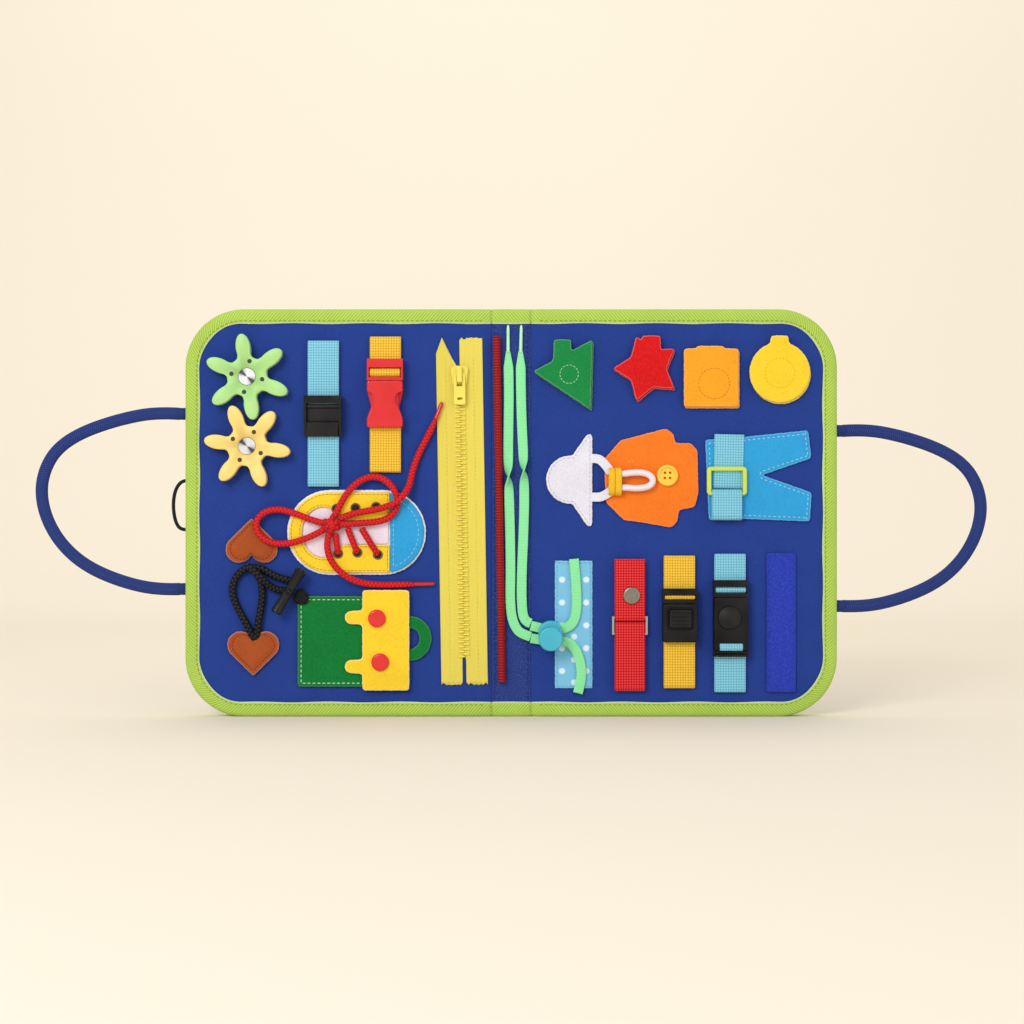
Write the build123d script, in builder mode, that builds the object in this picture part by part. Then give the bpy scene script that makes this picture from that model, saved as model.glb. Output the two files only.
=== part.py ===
"""Felt busy board for a small child: two padded halves that close like a book.

Frame: X to the right, Y away from the viewer, Z up, in millimetres. The board stands
open on its bottom edge, and the origin is the middle of that edge.
"""
import os
from math import asin, atan2, cos, hypot, pi, radians, sin, sqrt, tan

from build123d import *

os.makedirs("parts", exist_ok=True)

# Board
BOARD_W = 400.0
BOARD_H = 250.0
CORNER_R = 36.0
SPINE_W = 24.0
FELT = 2.0
CORE = 7.0
CORE_INSET = 3.0
TAPE = 1.0
BINDING_W = 9.0
EDGE_R = 1.2
FOLD_GAP = 0.4
CLEAR = 0.3
PANEL = CORE + 2 * FELT

# Carry handles and closure
HANDLE_D = 7.8
HANDLE_REACH = 86.0
HANDLE_HALF = 54.0
LEFT_HANDLE_Z = 132.0
RIGHT_HANDLE_Z = 121.5
ELASTIC_D = 2.2
CLOSURE_BUTTON_R = 9.0
CLOSURE_BUTTON_T = 4.0
CLOSURE_X = 0.455 * BOARD_W
CLOSURE_Z = 130.0

# Finger gears
GEAR_X = -0.4025 * BOARD_W
GREEN_GEAR_Z = 0.832 * BOARD_H
GEAR_CENTRES = 42.3
GEAR_R = 26.5
GEAR_HUB_R = 13.0
GEAR_ARM_W = 8.2
GEAR_ARMS = 6
GEAR_T = 7.0
GEAR_EDGE_R = 1.0
GEAR_MESH = 8.0
POST_R = 4.0
WASHER_R = 8.0
WASHER_T = 1.0
SCREW_R = 5.1
SCREW_T = 1.6
GEAR_PEG_R = 1.4
GEAR_PEG_CIRCLE = 9.6

# Webbing: flat loops sewn to the felt
WEB_W = 19.0
WEB = 1.1
WEB_SPACE = 1.4
LOOP_T = 2 * WEB + WEB_SPACE

# Cam buckle
CAM_X = -0.2875 * BOARD_W
CAM_STRAP_LOW = 141.0
CAM_STRAP_HIGH = 230.5
CAM_W = 23.0
CAM_LOW = 171.5
CAM_HIGH = 196.5
CAM_TOP = 8.4
CAM_BASE_T = 0.8
CAM_PIN_Z = 190.0
CAM_PIN_R = 0.9
CAM_BARREL_R = 1.3
CAM_FLAP = 8.5
CAM_FLOOR = 1.3

# Clips: the red side-release one and the two black ones
CLIP_BACK = 0.4
CLIP_FRONT = 9.0
CLIP_WALL = 1.3
BAR_T = 0.8
BAR_H = 2.5
BAR_RISE = 5.0
FOOT_H = 5.6
SHOULDER_H = 2.0
PRONG_T = 3.0

RED_X = -0.1925 * BOARD_W
RED_W = 21.8
RED_MOUTH = 0.822 * BOARD_H
RED_LOW = RED_MOUTH - 28.5
RED_TOP = RED_MOUTH + 13.5
RED_STRAP_LOW = RED_LOW - 27.4
RED_STRAP_HIGH = RED_MOUTH + 27.5
RED_BAR_H = 5.3
RED_PRONG = 17.0
RED_WAIST = 8.4

PRESS_X = 0.2575 * BOARD_W
PRESS_STRAP_LOW = 17.5
PRESS_STRAP_HIGH = 98.9
PRESS_W = 21.3
PRESS_LOW = 46.0
PRESS_MOUTH = 69.5
PRESS_TOP = 78.8
PRESS_BUTTON_W = 13.5
PRESS_BUTTON_H = 11.0
PRESS_BUTTON_Z = 60.5

ROUND_X = 0.335 * BOARD_W
ROUND_STRAP_LOW = 15.0
ROUND_STRAP_HIGH = 100.0
ROUND_W = 21.0
ROUND_LOW = 41.0
ROUND_MOUTH = 73.5
ROUND_TOP = 83.9
ROUND_BUTTON_R = 7.0
ROUND_BUTTON_X = ROUND_X - 1
ROUND_BUTTON_Z = 61.0
DOME_RISE = 1.8

TONGUE_T = 1.2
TONGUE_W = 12.0
TONGUE_L = 13.0
BLACK_BAR_H = 3.8
BUTTON_SINK = 1.3
BUTTON_PROUD = 1.2
PRESS_TRAVEL = 2.0

# Zipper
ZIP_TOP_X = -32.0
ZIP_LOW_X = -28.5
ZIP_LOW = 19.3
ZIP_HIGH = 232.6
ZIP_W = 28.5
ZIP_TAPE = 0.9
TOOTH_PITCH = 3.0
TOOTH_W = 1.2
TOOTH_L = 3.7
TOOTH_H = 1.5
TOOTH_OVERLAP = 0.9
CHAIN_LOW = 37.0
CHAIN_HIGH = 216.0
PINK_H = 2.2
SLIDER_LOW = 204.0
SLIDER_HIGH = 215.0
SLIDER_W = 10.6
SLIDER_T = 1.0
FLANGE_T = 1.1
CROWN_W = 3.0
CROWN_T = 1.2
PULL_W = 6.8
PULL_L = 19.0
PULL_T = 1.4
PULL_WINDOW = 6.5

# Shoe
SHOE_LEFT = -137.3
SHOE_RIGHT = -52.2
SHOE_Z = 113.0
SHOE_H = 52.0
SHOE_BACKING = 2.0
SHOE_FELT = 2.0
SHOE_BORDER = 2.2
TOE_X = -74.0
TONGUE_X = -115.0
TONGUE_OVAL = (13.0, 15.5)
LACING_SLOT = 15.0
EYELET_R = 2.5
LACE_D = 4.0
LACE_TIP_D = 2.4

# Hearts and toggle
HEART_W = 32.0
HEART_H = 27.5
HEART_LOBE = 8.3
HEART_T = 2.4
UPPER_HEART = (-159.0, 121.8)
LOWER_HEART = (-158.0, 25.0)
CORD_D = 4.4
TOGGLE_D = 7.0
TOGGLE_L = 31.0
TOGGLE_X = -135.4
TOGGLE_Z = 77.3
TOGGLE_TURN = 59.0
TOGGLE_KNOT = (-129.4, 79.4)
TOGGLE_WAIST = 0.6
TOGGLE_CHAMFER = 1.0
TOGGLE_EYE_R = 1.8

# Bag
BAG_LEFT = -130.8
BAG_RIGHT = -62.0
BAG_LOW = 18.5
BAG_HIGH = 74.0
BAG_T = 2.5
BAG_GRIP_R = 13.9
BAG_GRIP_IN = 6.6
BAG_GRIP_Z = 48.0
FLAP_LEFT = -91.0
FLAP_LOW = 16.4
FLAP_HIGH = 77.8
FLAP_T = 2.0
FLAP_TAB_L = 11.0
FLAP_TAB_H = 8.4
FLAP_TABS = (61.0, 31.0)
BAG_SNAPS = ((-82.0, 60.5), (-80.0, 33.8))
BAG_SNAP_R = 5.4
BAG_SNAP_T = 2.2

# Spine cord and laces
SPINE_CORD_D = 4.8
SPINE_CORD_LOW = (-5.6, 21.4)
SPINE_CORD_HIGH = (-8.9, BOARD_H - 17.1)
MINT_W = 6.0
MINT_T = 1.0
MINT_TIP_D = 2.1
MINT_TIP_L = 16.0
MINT_LIE = 0.9

# Shape games
SHAPE_T = 2.2
STAR_AT = (82.9, 213.2)
STAR_R = 21.0
STAR_IN = 12.0
SQUARE_AT = (122.3, 207.7)
SQUARE_W = 33.4
SQUARE_H = 35.6
CIRCLE_AT = (164.2, 211.0)
CIRCLE_R = 18.5
TRIANGLE_TAB_TOP = BOARD_H - 19
SHAPE_TAB_TOP = 233.4

# Hat, coat, trousers
GARMENT_T = 2.0
BAND_T = 1.2
BAND_W = 6.0
HAT_NECK_HIGH = (37.4, 160.0)
HAT_BRIM_HIGH = [(46.4, 172.8), (48.6, 173.6), (49.7, 171.4)]
HAT_BRIM_LOW = [(49.7, 118.6), (48.6, 116.4), (46.4, 117.2)]
HAT_NECK_LOW = (37.4, 130.6)
HAT_CROWN = [(36.2, 130.6), (21.4, 145.3), (36.2, 160.0)]
BAND_START_X = 40.5
BAND_UPPER_Z = 153.5
BAND_LOWER_Z = 140.0
KEEPER_X = (59.4, 67.4)
KEEPER_Z = (135.5, 152.6)
KEEPER_WALL = 1.4
ELASTIC_LOOP_D = 4.0
COAT_BUTTON_AT = (95.6, 147.9)
COAT_BUTTON_R = 6.5
COAT_BUTTON_T = 2.6
BELT_X = 131.8
BELT_W = 18.2
BELT_LOW = 120.5
BELT_HIGH = 173.0
RING_W = 24.6
RING_LOW = 135.6
RING_HIGH = 153.2
RING_STROKE = 2.6
RING_BAR_D = 2.4

# Ribbon, cord lock, hook strip
RIBBON_X = 38.3
RIBBON_W = 23.0
RIBBON_LOW = 17.5
RIBBON_HIGH = 95.6
RIBBON_T = 0.8
LOCK_X = 24.0
LOCK_Z = 50.2
LOCK_L = 18.0
LOCK_W = 14.6
LOCK_BARREL = 8.0
LOCK_WALL = 1.2
LOCK_SLOT_LOW = 0.6
LOCK_SLOT_H = 2.4
LOCK_TRAVEL = 2.5
LOCK_STEM_R = 5.3
LOCK_BUTTON_T = 4.4
HOOK_X = 0.41375 * BOARD_W
HOOK_W = 18.0
HOOK_LOW = 15.0
HOOK_HIGH = 100.3
HOOK_T = 1.8

# Snap strap
SNAP_X = 72.6
SNAP_W = 18.4
SNAP_LOW = 15.8
SNAP_HIGH = 96.7
SNAP_RING_W = 21.8
SNAP_RING_LOW = 50.0
SNAP_RING_HIGH = 62.0
SNAP_WIRE = 2.0
SNAP_Z = 74.5
SNAP_CAP_R = 5.3
SNAP_CAP_T = 1.7
SNAP_STUD_R = 3.2
SNAP_SIDE = 1.3
SNAP_STUD_X = SNAP_X + 1
SNAP_PIN_H = CLEAR + WEB + CLEAR + SNAP_WIRE / 2
SNAP_LOOP_SPACE = 2 * (SNAP_PIN_H - WEB)

HALF_SPANS = {
    "left": (-BOARD_W / 2, -SPINE_W / 2 - FOLD_GAP / 2),
    "right": (SPINE_W / 2 + FOLD_GAP / 2, BOARD_W / 2),
}


def at(height):
    """Plane parallel to the front felt: sketch in (X, Z), growing towards the viewer."""
    return Plane.XZ.offset(PANEL / 2 + height)


def side(x):
    """Upright plane across the board: sketch in (height above the felt, Z)."""
    return Plane(origin=(x, -PANEL / 2, 0), x_dir=(0, -1, 0), z_dir=(-1, 0, 0))


def spot(x, z, height):
    """Point over the front felt."""
    return Vector(x, -PANEL / 2 - height, z)


def keep(piece, name):
    """Label a finished piece and write it."""
    piece.label = name
    export_step(piece, f"parts/{name}.step")


def board_outline(inset, x_low, x_high):
    """The board's rounded outline, drawn in by inset, between two upright lines."""
    with Locations((0, BOARD_H / 2)):
        RectangleRounded(BOARD_W - 2 * inset, BOARD_H - 2 * inset, CORNER_R - inset)
    with Locations(((x_low + x_high) / 2, BOARD_H / 2)):
        Rectangle(x_high - x_low, BOARD_H, mode=Mode.INTERSECT)


def arc_radii(points):
    """Radius at each corner of a cord's route, as large as its two runs allow."""
    radii = []
    for before, corner, after in zip(points, points[1:], points[2:]):
        run_in = corner - before
        run_out = after - corner
        half_turn = radians(run_in.get_angle(run_out)) / 2
        radii.append(0.45 * min(run_in.length, run_out.length) / tan(half_turn))
    return radii


def tube(route, diameter, name):
    """Round cord along a route of straight runs and tangent arcs."""
    points = [Vector(*point) for point in route]
    radii = arc_radii(points)
    with BuildPart() as cord:
        with BuildLine() as path:
            FilletPolyline(*points, radius=radii)
        line = path.wire()
        with BuildSketch(Plane(origin=line @ 0, z_dir=line % 0)):
            Circle(diameter / 2)
        sweep(path=line)
    section = pi * diameter ** 2 / 4
    print(f"{name}: length {line.length:.1f} mm, tightest radius {min(radii):.1f} mm,"
          f" volume ratio {cord.part.volume / (section * line.length):.3f}")
    return cord.part


def flat_lace(route, name):
    """Flat lace lying on the board along a route of straight runs and tangent arcs."""
    points = [Vector(*point) for point in route]
    radii = arc_radii(points)
    with BuildPart() as lace:
        with BuildLine() as path:
            FilletPolyline(*points, radius=radii)
        line = path.wire()
        start = line % 0
        with BuildSketch(Plane(origin=line @ 0, x_dir=start.cross(Vector(0, 1, 0)), z_dir=start)):
            RectangleRounded(MINT_W, MINT_T, MINT_T / 2 - 0.05)
        sweep(path=line)
    print(f"{name}: length {line.length:.1f} mm, tightest radius {min(radii):.1f} mm")
    return lace.part


def felt_patch(outline, height, thickness, corner_r):
    """Felt cut to a straight-sided outline with softened corners."""
    with BuildPart() as patch:
        with BuildSketch(at(height)) as cut:
            Polygon(*outline, align=None)
            fillet(cut.vertices(), corner_r)
        extrude(amount=thickness)
    return patch.part


def webbing_loop(x, width, low, high, base, space):
    """Webbing folded flat into a closed loop, seen from its edge as a long slot."""
    depth = 2 * WEB + space
    middle = (base + depth / 2, (low + high) / 2)
    with BuildPart() as loop:
        with BuildSketch(side(x)):
            with Locations(middle):
                SlotOverall(high - low, depth, rotation=90)
                SlotOverall(high - low - 2 * WEB, space, rotation=90, mode=Mode.SUBTRACT)
        extrude(amount=width / 2, both=True)
    return loop.part


# Felt covers, stiff cores and binding tape of the two halves
for half, (x_low, x_high) in HALF_SPANS.items():
    with BuildPart() as covers:
        for face, inward in ((Plane.XZ.offset(PANEL / 2), -FELT), (Plane.XZ.offset(-PANEL / 2), FELT)):
            with BuildSketch(face):
                board_outline(TAPE, x_low, x_high)
            extrude(amount=inward)
    keep(covers.part, f"{half}_felt")

    with BuildPart() as core:
        with BuildSketch(Plane.XZ.offset(CORE / 2)):
            board_outline(TAPE + CORE_INSET, x_low, x_high)
        extrude(amount=-CORE)
    keep(core.part, f"{half}_core")

    with BuildPart() as binding:
        with BuildSketch(Plane.XZ.offset(PANEL / 2 + TAPE)):
            board_outline(0, x_low, x_high)
            with Locations((0, BOARD_H / 2)):
                RectangleRounded(BOARD_W - 2 * BINDING_W, BOARD_H - 2 * BINDING_W,
                                 CORNER_R - BINDING_W, mode=Mode.SUBTRACT)
        extrude(amount=-(PANEL + 2 * TAPE))
        rim_faces = (binding.faces().filter_by(Axis.Z).filter_by(
            lambda f: min(abs(f.center().Z), abs(f.center().Z - BOARD_H)) < EDGE_R)
            + binding.faces().filter_by(lambda f: abs(abs(f.center().X) - BOARD_W / 2) < EDGE_R)
            + binding.faces().filter_by(GeomType.CYLINDER).filter_by(
                lambda f: abs(f.radius - CORNER_R) < EDGE_R))
        rim = [e for f in rim_faces for e in f.edges() if abs(abs(e.center().Y) - PANEL / 2 - TAPE) < 0.01]
        fillet(rim, EDGE_R)
        with BuildSketch(Plane.XZ.offset(PANEL / 2)):
            board_outline(TAPE, x_low, x_high)
        extrude(amount=-PANEL, mode=Mode.SUBTRACT)
    keep(binding.part, f"{half}_binding")

# Spine: felt sewn through, without a core, and its two short lengths of binding
SPINE_HALF = SPINE_W / 2 - FOLD_GAP / 2
with BuildPart() as spine_felt:
    with BuildSketch(Plane.XZ.offset(PANEL / 2)):
        board_outline(TAPE, -SPINE_HALF, SPINE_HALF)
    extrude(amount=-PANEL)
keep(spine_felt.part, "spine_felt")

with BuildPart() as spine_binding:
    with BuildSketch(Plane.XZ.offset(PANEL / 2 + TAPE)):
        board_outline(0, -SPINE_HALF, SPINE_HALF)
        with Locations((0, BOARD_H / 2)):
            Rectangle(BOARD_W, BOARD_H - 2 * BINDING_W, mode=Mode.SUBTRACT)
    extrude(amount=-(PANEL + 2 * TAPE))
    rim = spine_binding.edges().filter_by(Axis.X).group_by(Axis.Z)
    fillet(rim[0] + rim[-1], EDGE_R)
    with BuildSketch(Plane.XZ.offset(PANEL / 2)):
        board_outline(TAPE, -SPINE_HALF, SPINE_HALF)
    extrude(amount=-PANEL, mode=Mode.SUBTRACT)
keep(spine_binding.part, "spine_binding")

# Red corded strip sewn down the spine
with BuildPart() as spine_cord:
    low = spot(*SPINE_CORD_LOW, SPINE_CORD_D / 2)
    high = spot(*SPINE_CORD_HIGH, SPINE_CORD_D / 2)
    with BuildLine() as spine_line:
        Line(low, high)
    with BuildSketch(Plane(origin=low, z_dir=high - low)):
        Circle(SPINE_CORD_D / 2)
    sweep(path=spine_line.wire())
keep(spine_cord.part, "spine_cord")

# Carry handles: a rope-thick tube each, with ball ends that turn beside the binding
HANDLE_HINGE_X = BOARD_W / 2 + HANDLE_D / 2 + CLEAR
HANDLE_ARCH = [(0, HANDLE_HALF), (14, 55), (36, 51), (60, 43), (75.5, 33), (83.5, 20), (HANDLE_REACH, 5),
               (82, -12), (72, -28), (57, -40.5), (36, -49.5), (14, -54.5), (0, -HANDLE_HALF)]
for half, sign, middle in (("left", -1, LEFT_HANDLE_Z), ("right", 1, RIGHT_HANDLE_Z)):
    route = [(sign * (HANDLE_HINGE_X + out), 0, middle + rise) for out, rise in HANDLE_ARCH]
    arch = tube(route, HANDLE_D, f"{half}_handle")
    with BuildPart() as handle:
        add(arch)
        with Locations(route[0], route[-1]):
            Sphere(HANDLE_D / 2)
    keep(handle.part, f"{half}_handle")

# Elastic closure loop on the left edge, and the button on the back that it hooks over
closure_loop = tube([(-BOARD_W / 2 - out, 0, z) for out, z in (
    (0, 144.8), (3.2, 144.8), (7.0, 139.5), (8.4, 132), (8.0, 124), (6.2, 117.5), (3.2, 114.6), (0, 114.6))],
    ELASTIC_D, "closure_loop")
keep(closure_loop, "closure_loop")

# Finger gears and their pivots
GEAR_BACK = WASHER_T + CLEAR
SCREW_SEAT = GEAR_BACK + GEAR_T - SCREW_T - 2 * CLEAR
GEARS = (("green_gear", GREEN_GEAR_Z, 270 + GEAR_MESH),
         ("yellow_gear", GREEN_GEAR_Z - GEAR_CENTRES, 60 - GEAR_MESH))
for name, z, phase in GEARS:
    with BuildPart() as gear:
        with BuildSketch(at(GEAR_BACK)) as star_cut:
            with Locations((GEAR_X, z)):
                Circle(GEAR_HUB_R)
                with PolarLocations(GEAR_R / 2, GEAR_ARMS, phase):
                    SlotOverall(GEAR_R, GEAR_ARM_W)
            valleys = star_cut.vertices().filter_by(
                lambda v: abs(hypot(v.X - GEAR_X, v.Z - z) - GEAR_HUB_R) < 0.2)
            fillet(valleys, GEAR_ARM_W / 4)
        extrude(amount=GEAR_T)
        fillet(gear.faces().sort_by(Axis.Y)[0].edges(), GEAR_EDGE_R)
        with BuildSketch(at(GEAR_BACK)):
            with Locations((GEAR_X, z)):
                Circle(POST_R + CLEAR)
                with PolarLocations(GEAR_PEG_CIRCLE, 4, phase + 45):
                    Circle(GEAR_PEG_R)
        extrude(amount=GEAR_T, mode=Mode.SUBTRACT)
        with BuildSketch(at(SCREW_SEAT)):
            with Locations((GEAR_X, z)):
                Circle(SCREW_R + CLEAR)
        extrude(amount=GEAR_T, mode=Mode.SUBTRACT)
    keep(gear.part, name)

with BuildPart() as gear_pivots:
    for radius, low, high in ((WASHER_R, 0, WASHER_T), (POST_R, 0, SCREW_SEAT + CLEAR),
                              (SCREW_R, SCREW_SEAT + CLEAR, SCREW_SEAT + CLEAR + SCREW_T)):
        with BuildSketch(at(low)):
            with Locations(*[(GEAR_X, z) for _, z, _ in GEARS]):
                Circle(radius)
        extrude(amount=high - low)
keep(gear_pivots.part, "gear_pivots")

# Left webbing: the cam strap and the two loops of the side-release strap
RED_UPPER_LOOP = RED_MOUTH + BAR_RISE - CLEAR - WEB
RED_LOWER_LOOP = RED_LOW + 1 + BAR_H + CLEAR + WEB
left_webbing = Compound(children=[
    webbing_loop(CAM_X, WEB_W, CAM_STRAP_LOW, CAM_STRAP_HIGH, 0, WEB_SPACE),
    webbing_loop(RED_X, WEB_W, RED_UPPER_LOOP, RED_STRAP_HIGH, 0, WEB_SPACE),
    webbing_loop(RED_X, WEB_W, RED_STRAP_LOW, RED_LOWER_LOOP, 0, WEB_SPACE)])
keep(left_webbing, "left_webbing")

# Cam buckle: base plate inside the loop, cheeks beside it, bridge over it, lever on a pin
CAM_CHEEK = CAM_W / 2 - WEB_W / 2 - CLEAR
CAM_PIN_H = LOOP_T + CLEAR + CAM_BARREL_R
CAM_GAP_LOW = WEB + (WEB_SPACE - CAM_BASE_T) / 2
with BuildPart() as cam_frame:
    with BuildSketch(at(CAM_GAP_LOW)):
        with Locations((CAM_X, (CAM_LOW + CAM_HIGH) / 2)):
            RectangleRounded(CAM_W, CAM_HIGH - CAM_LOW, CAM_CHEEK)
    extrude(amount=CAM_BASE_T)
    with BuildSketch(side(CAM_X)) as cheek:
        with BuildLine():
            Polyline((CAM_GAP_LOW, CAM_LOW), (CAM_PIN_H, CAM_LOW), (CAM_TOP, CAM_LOW + CAM_FLAP),
                     (CAM_TOP, CAM_HIGH), (CAM_GAP_LOW, CAM_HIGH), close=True)
        make_face()
    extrude(amount=CAM_W / 2, both=True)
    with BuildSketch(side(CAM_X)):
        with Locations((LOOP_T + CLEAR, (CAM_LOW + CAM_HIGH) / 2)):
            Rectangle(2 * (LOOP_T + CLEAR - CAM_GAP_LOW - CAM_BASE_T), 2 * CAM_W, mode=Mode.ADD)
    extrude(amount=WEB_W / 2 + CLEAR, both=True, mode=Mode.SUBTRACT)
    with BuildSketch(at(LOOP_T + CLEAR)):
        with Locations((CAM_X, CAM_PIN_Z + CAM_BARREL_R + 2 * CLEAR)):
            Rectangle(WEB_W + 2 * CLEAR, CAM_HIGH - CAM_LOW, align=(Align.CENTER, Align.MAX))
    extrude(amount=CAM_TOP, mode=Mode.SUBTRACT)
    with BuildSketch(side(CAM_X)):
        with Locations((CAM_PIN_H, CAM_PIN_Z)):
            Circle(CAM_PIN_R + CLEAR)
    extrude(amount=CAM_W, both=True, mode=Mode.SUBTRACT)
keep(cam_frame.part, "cam_frame")

with BuildPart() as cam_lever:
    with BuildSketch(side(CAM_X)):
        with Locations((CAM_PIN_H, CAM_PIN_Z)):
            Circle(CAM_BARREL_R)
        with BuildLine():
            low_face = LOOP_T + CLEAR
            Polyline((low_face, CAM_PIN_Z), (low_face, CAM_LOW), (CAM_TOP - CAM_FLOOR, CAM_LOW),
                     (CAM_TOP, CAM_LOW + CAM_FLAP / 4), (CAM_TOP, CAM_LOW + CAM_FLAP),
                     (CAM_PIN_H, CAM_LOW + CAM_FLAP + CAM_FLOOR), (CAM_PIN_H, CAM_PIN_Z), close=True)
        make_face()
    extrude(amount=WEB_W / 2, both=True)
    with BuildSketch(side(CAM_X)):
        with Locations((CAM_PIN_H, CAM_PIN_Z)):
            Circle(CAM_PIN_R)
    extrude(amount=CAM_W / 2 - CLEAR, both=True)
keep(cam_lever.part, "cam_lever")


def clip_bars(x, width, mouth, top, bar_h):
    """Upper frame of a clip's plug: shoulder, two rails, front bar, and the bar inside the webbing loop."""
    rail = (width - WEB_W) / 2 - CLEAR
    over = LOOP_T + CLEAR
    with BuildSketch(at(over)) as cross_bars:
        with Locations((x, mouth + CLEAR)):
            Rectangle(width, SHOULDER_H, align=(Align.CENTER, Align.MIN))
        with Locations((x, top)):
            Rectangle(width, bar_h, align=(Align.CENTER, Align.MAX))
    extrude(cross_bars.sketch, amount=CLIP_FRONT - CLIP_WALL - over)
    with BuildSketch(at(CLIP_BACK)) as rails:
        for sign in (-1, 1):
            with Locations((x + sign * (width - rail) / 2, mouth + CLEAR)):
                Rectangle(rail, top - mouth - CLEAR, align=(Align.CENTER, Align.MIN))
    extrude(rails.sketch, amount=CLIP_FRONT - CLIP_WALL - CLIP_BACK)
    with BuildSketch(at(WEB + (WEB_SPACE - BAR_T) / 2)) as hidden_bar:
        with Locations((x, mouth + BAR_RISE)):
            Rectangle(width, BAR_H, align=(Align.CENTER, Align.MIN))
    extrude(hidden_bar.sketch, amount=BAR_T)


def clip_foot(x, width, low):
    """Lower end of a clip's socket: a pocket for the webbing loop, crossed by the bar that it goes round."""
    with BuildSketch(at(0)) as pocket:
        with Locations((x, low - CLEAR)):
            Rectangle(WEB_W + 2 * CLEAR, FOOT_H + CLEAR, align=(Align.CENTER, Align.MIN))
    extrude(pocket.sketch, amount=LOOP_T + CLEAR, mode=Mode.SUBTRACT)
    with BuildSketch(at(WEB + (WEB_SPACE - BAR_T) / 2)) as hidden_bar:
        with Locations((x, low + 1)):
            Rectangle(width, BAR_H, align=(Align.CENTER, Align.MIN))
    extrude(hidden_bar.sketch, amount=BAR_T)


# Red side-release buckle
RED_GUIDE_W = 3.4
RED_PRONG_W = 3.6
RED_CAVITY_W = RED_W - 2 * CLIP_WALL - 2.2
RED_CAVITY_LOW = RED_MOUTH - RED_PRONG - 2
CAVITY_LOW = LOOP_T + CLEAR
CAVITY_H = CLIP_FRONT - CLIP_WALL - CAVITY_LOW
RED_FACE = Plane(origin=spot(RED_X, 0, CLIP_BACK), x_dir=(1, 0, 0), z_dir=(0, -1, 0))
with BuildPart() as red_socket:
    with BuildSketch(RED_FACE) as socket_cut:
        with BuildLine():
            Polyline((0, RED_MOUTH), (RED_W / 2, RED_MOUTH), (RED_W / 2, RED_MOUTH - 6),
                     (RED_WAIST, RED_MOUTH - 16), (RED_W / 2, RED_LOW + FOOT_H), (RED_W / 2, RED_LOW), (0, RED_LOW))
            mirror(about=Plane.YZ)
        make_face()
        fillet(socket_cut.vertices().filter_by(lambda v: abs(v.X) > 1), 1.5)
    extrude(amount=CLIP_FRONT - CLIP_BACK)
    fillet(red_socket.faces().sort_by(Axis.Y)[0].edges(), 1.0)
    with BuildSketch(at(CAVITY_LOW)):
        with Locations((RED_X, RED_CAVITY_LOW)):
            Rectangle(RED_CAVITY_W, RED_MOUTH, align=(Align.CENTER, Align.MIN))
    extrude(amount=CAVITY_H, mode=Mode.SUBTRACT)
    with BuildSketch(at(CAVITY_LOW)):
        for sign in (-1, 1):
            with Locations((RED_X + sign * RED_W / 2, RED_MOUTH - 11.5)):
                SlotOverall(10, 9, rotation=90)
    extrude(amount=CLIP_FRONT, mode=Mode.SUBTRACT)
    clip_foot(RED_X, RED_W, RED_LOW)
keep(red_socket.part, "clip_socket")

with BuildPart() as clip_plug:
    clip_bars(RED_X, RED_W, RED_MOUTH, RED_TOP, RED_BAR_H)
    with BuildSketch(at(CAVITY_LOW + CLEAR)):
        with Locations((RED_X, RED_MOUTH + CLEAR)):
            Rectangle(RED_GUIDE_W, RED_PRONG - 4, align=(Align.CENTER, Align.MAX))
        for sign in (-1, 1):
            with Locations((RED_X + sign * (RED_CAVITY_W / 2 - CLEAR - RED_PRONG_W / 2), RED_MOUTH + CLEAR)):
                Rectangle(RED_PRONG_W, RED_PRONG - RED_PRONG_W / 2, align=(Align.CENTER, Align.MAX))
            with Locations((RED_X + sign * (RED_CAVITY_W / 2 - CLEAR - RED_PRONG_W / 2),
                            RED_MOUTH + CLEAR - RED_PRONG + RED_PRONG_W / 2)):
                Circle(RED_PRONG_W / 2)
    extrude(amount=PRONG_T)
keep(clip_plug.part, "clip_plug")

# Zipper: two tapes with teeth along their inner edges, in a frame that leans with the zipper
ZIP_LEAN = atan2(ZIP_LOW_X - ZIP_TOP_X, ZIP_HIGH - ZIP_LOW)
ZIP_X = (ZIP_TOP_X + ZIP_LOW_X) / 2
ZIP_Z = (ZIP_LOW + ZIP_HIGH) / 2
ZIP_HALF_L = (ZIP_HIGH - ZIP_LOW) / 2


def on_zip(height):
    """Plane over the zipper: x across it, y up along it, growing towards the viewer."""
    return Plane(origin=spot(ZIP_X, ZIP_Z, height), x_dir=(cos(ZIP_LEAN), 0, sin(ZIP_LEAN)), z_dir=(0, -1, 0))


def zip_side():
    """Plane along the zipper's middle: x towards the viewer, y up along the zipper."""
    across = Vector(cos(ZIP_LEAN), 0, sin(ZIP_LEAN))
    return Plane(origin=spot(ZIP_X, ZIP_Z, 0), x_dir=(0, -1, 0), z_dir=-across)


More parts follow.
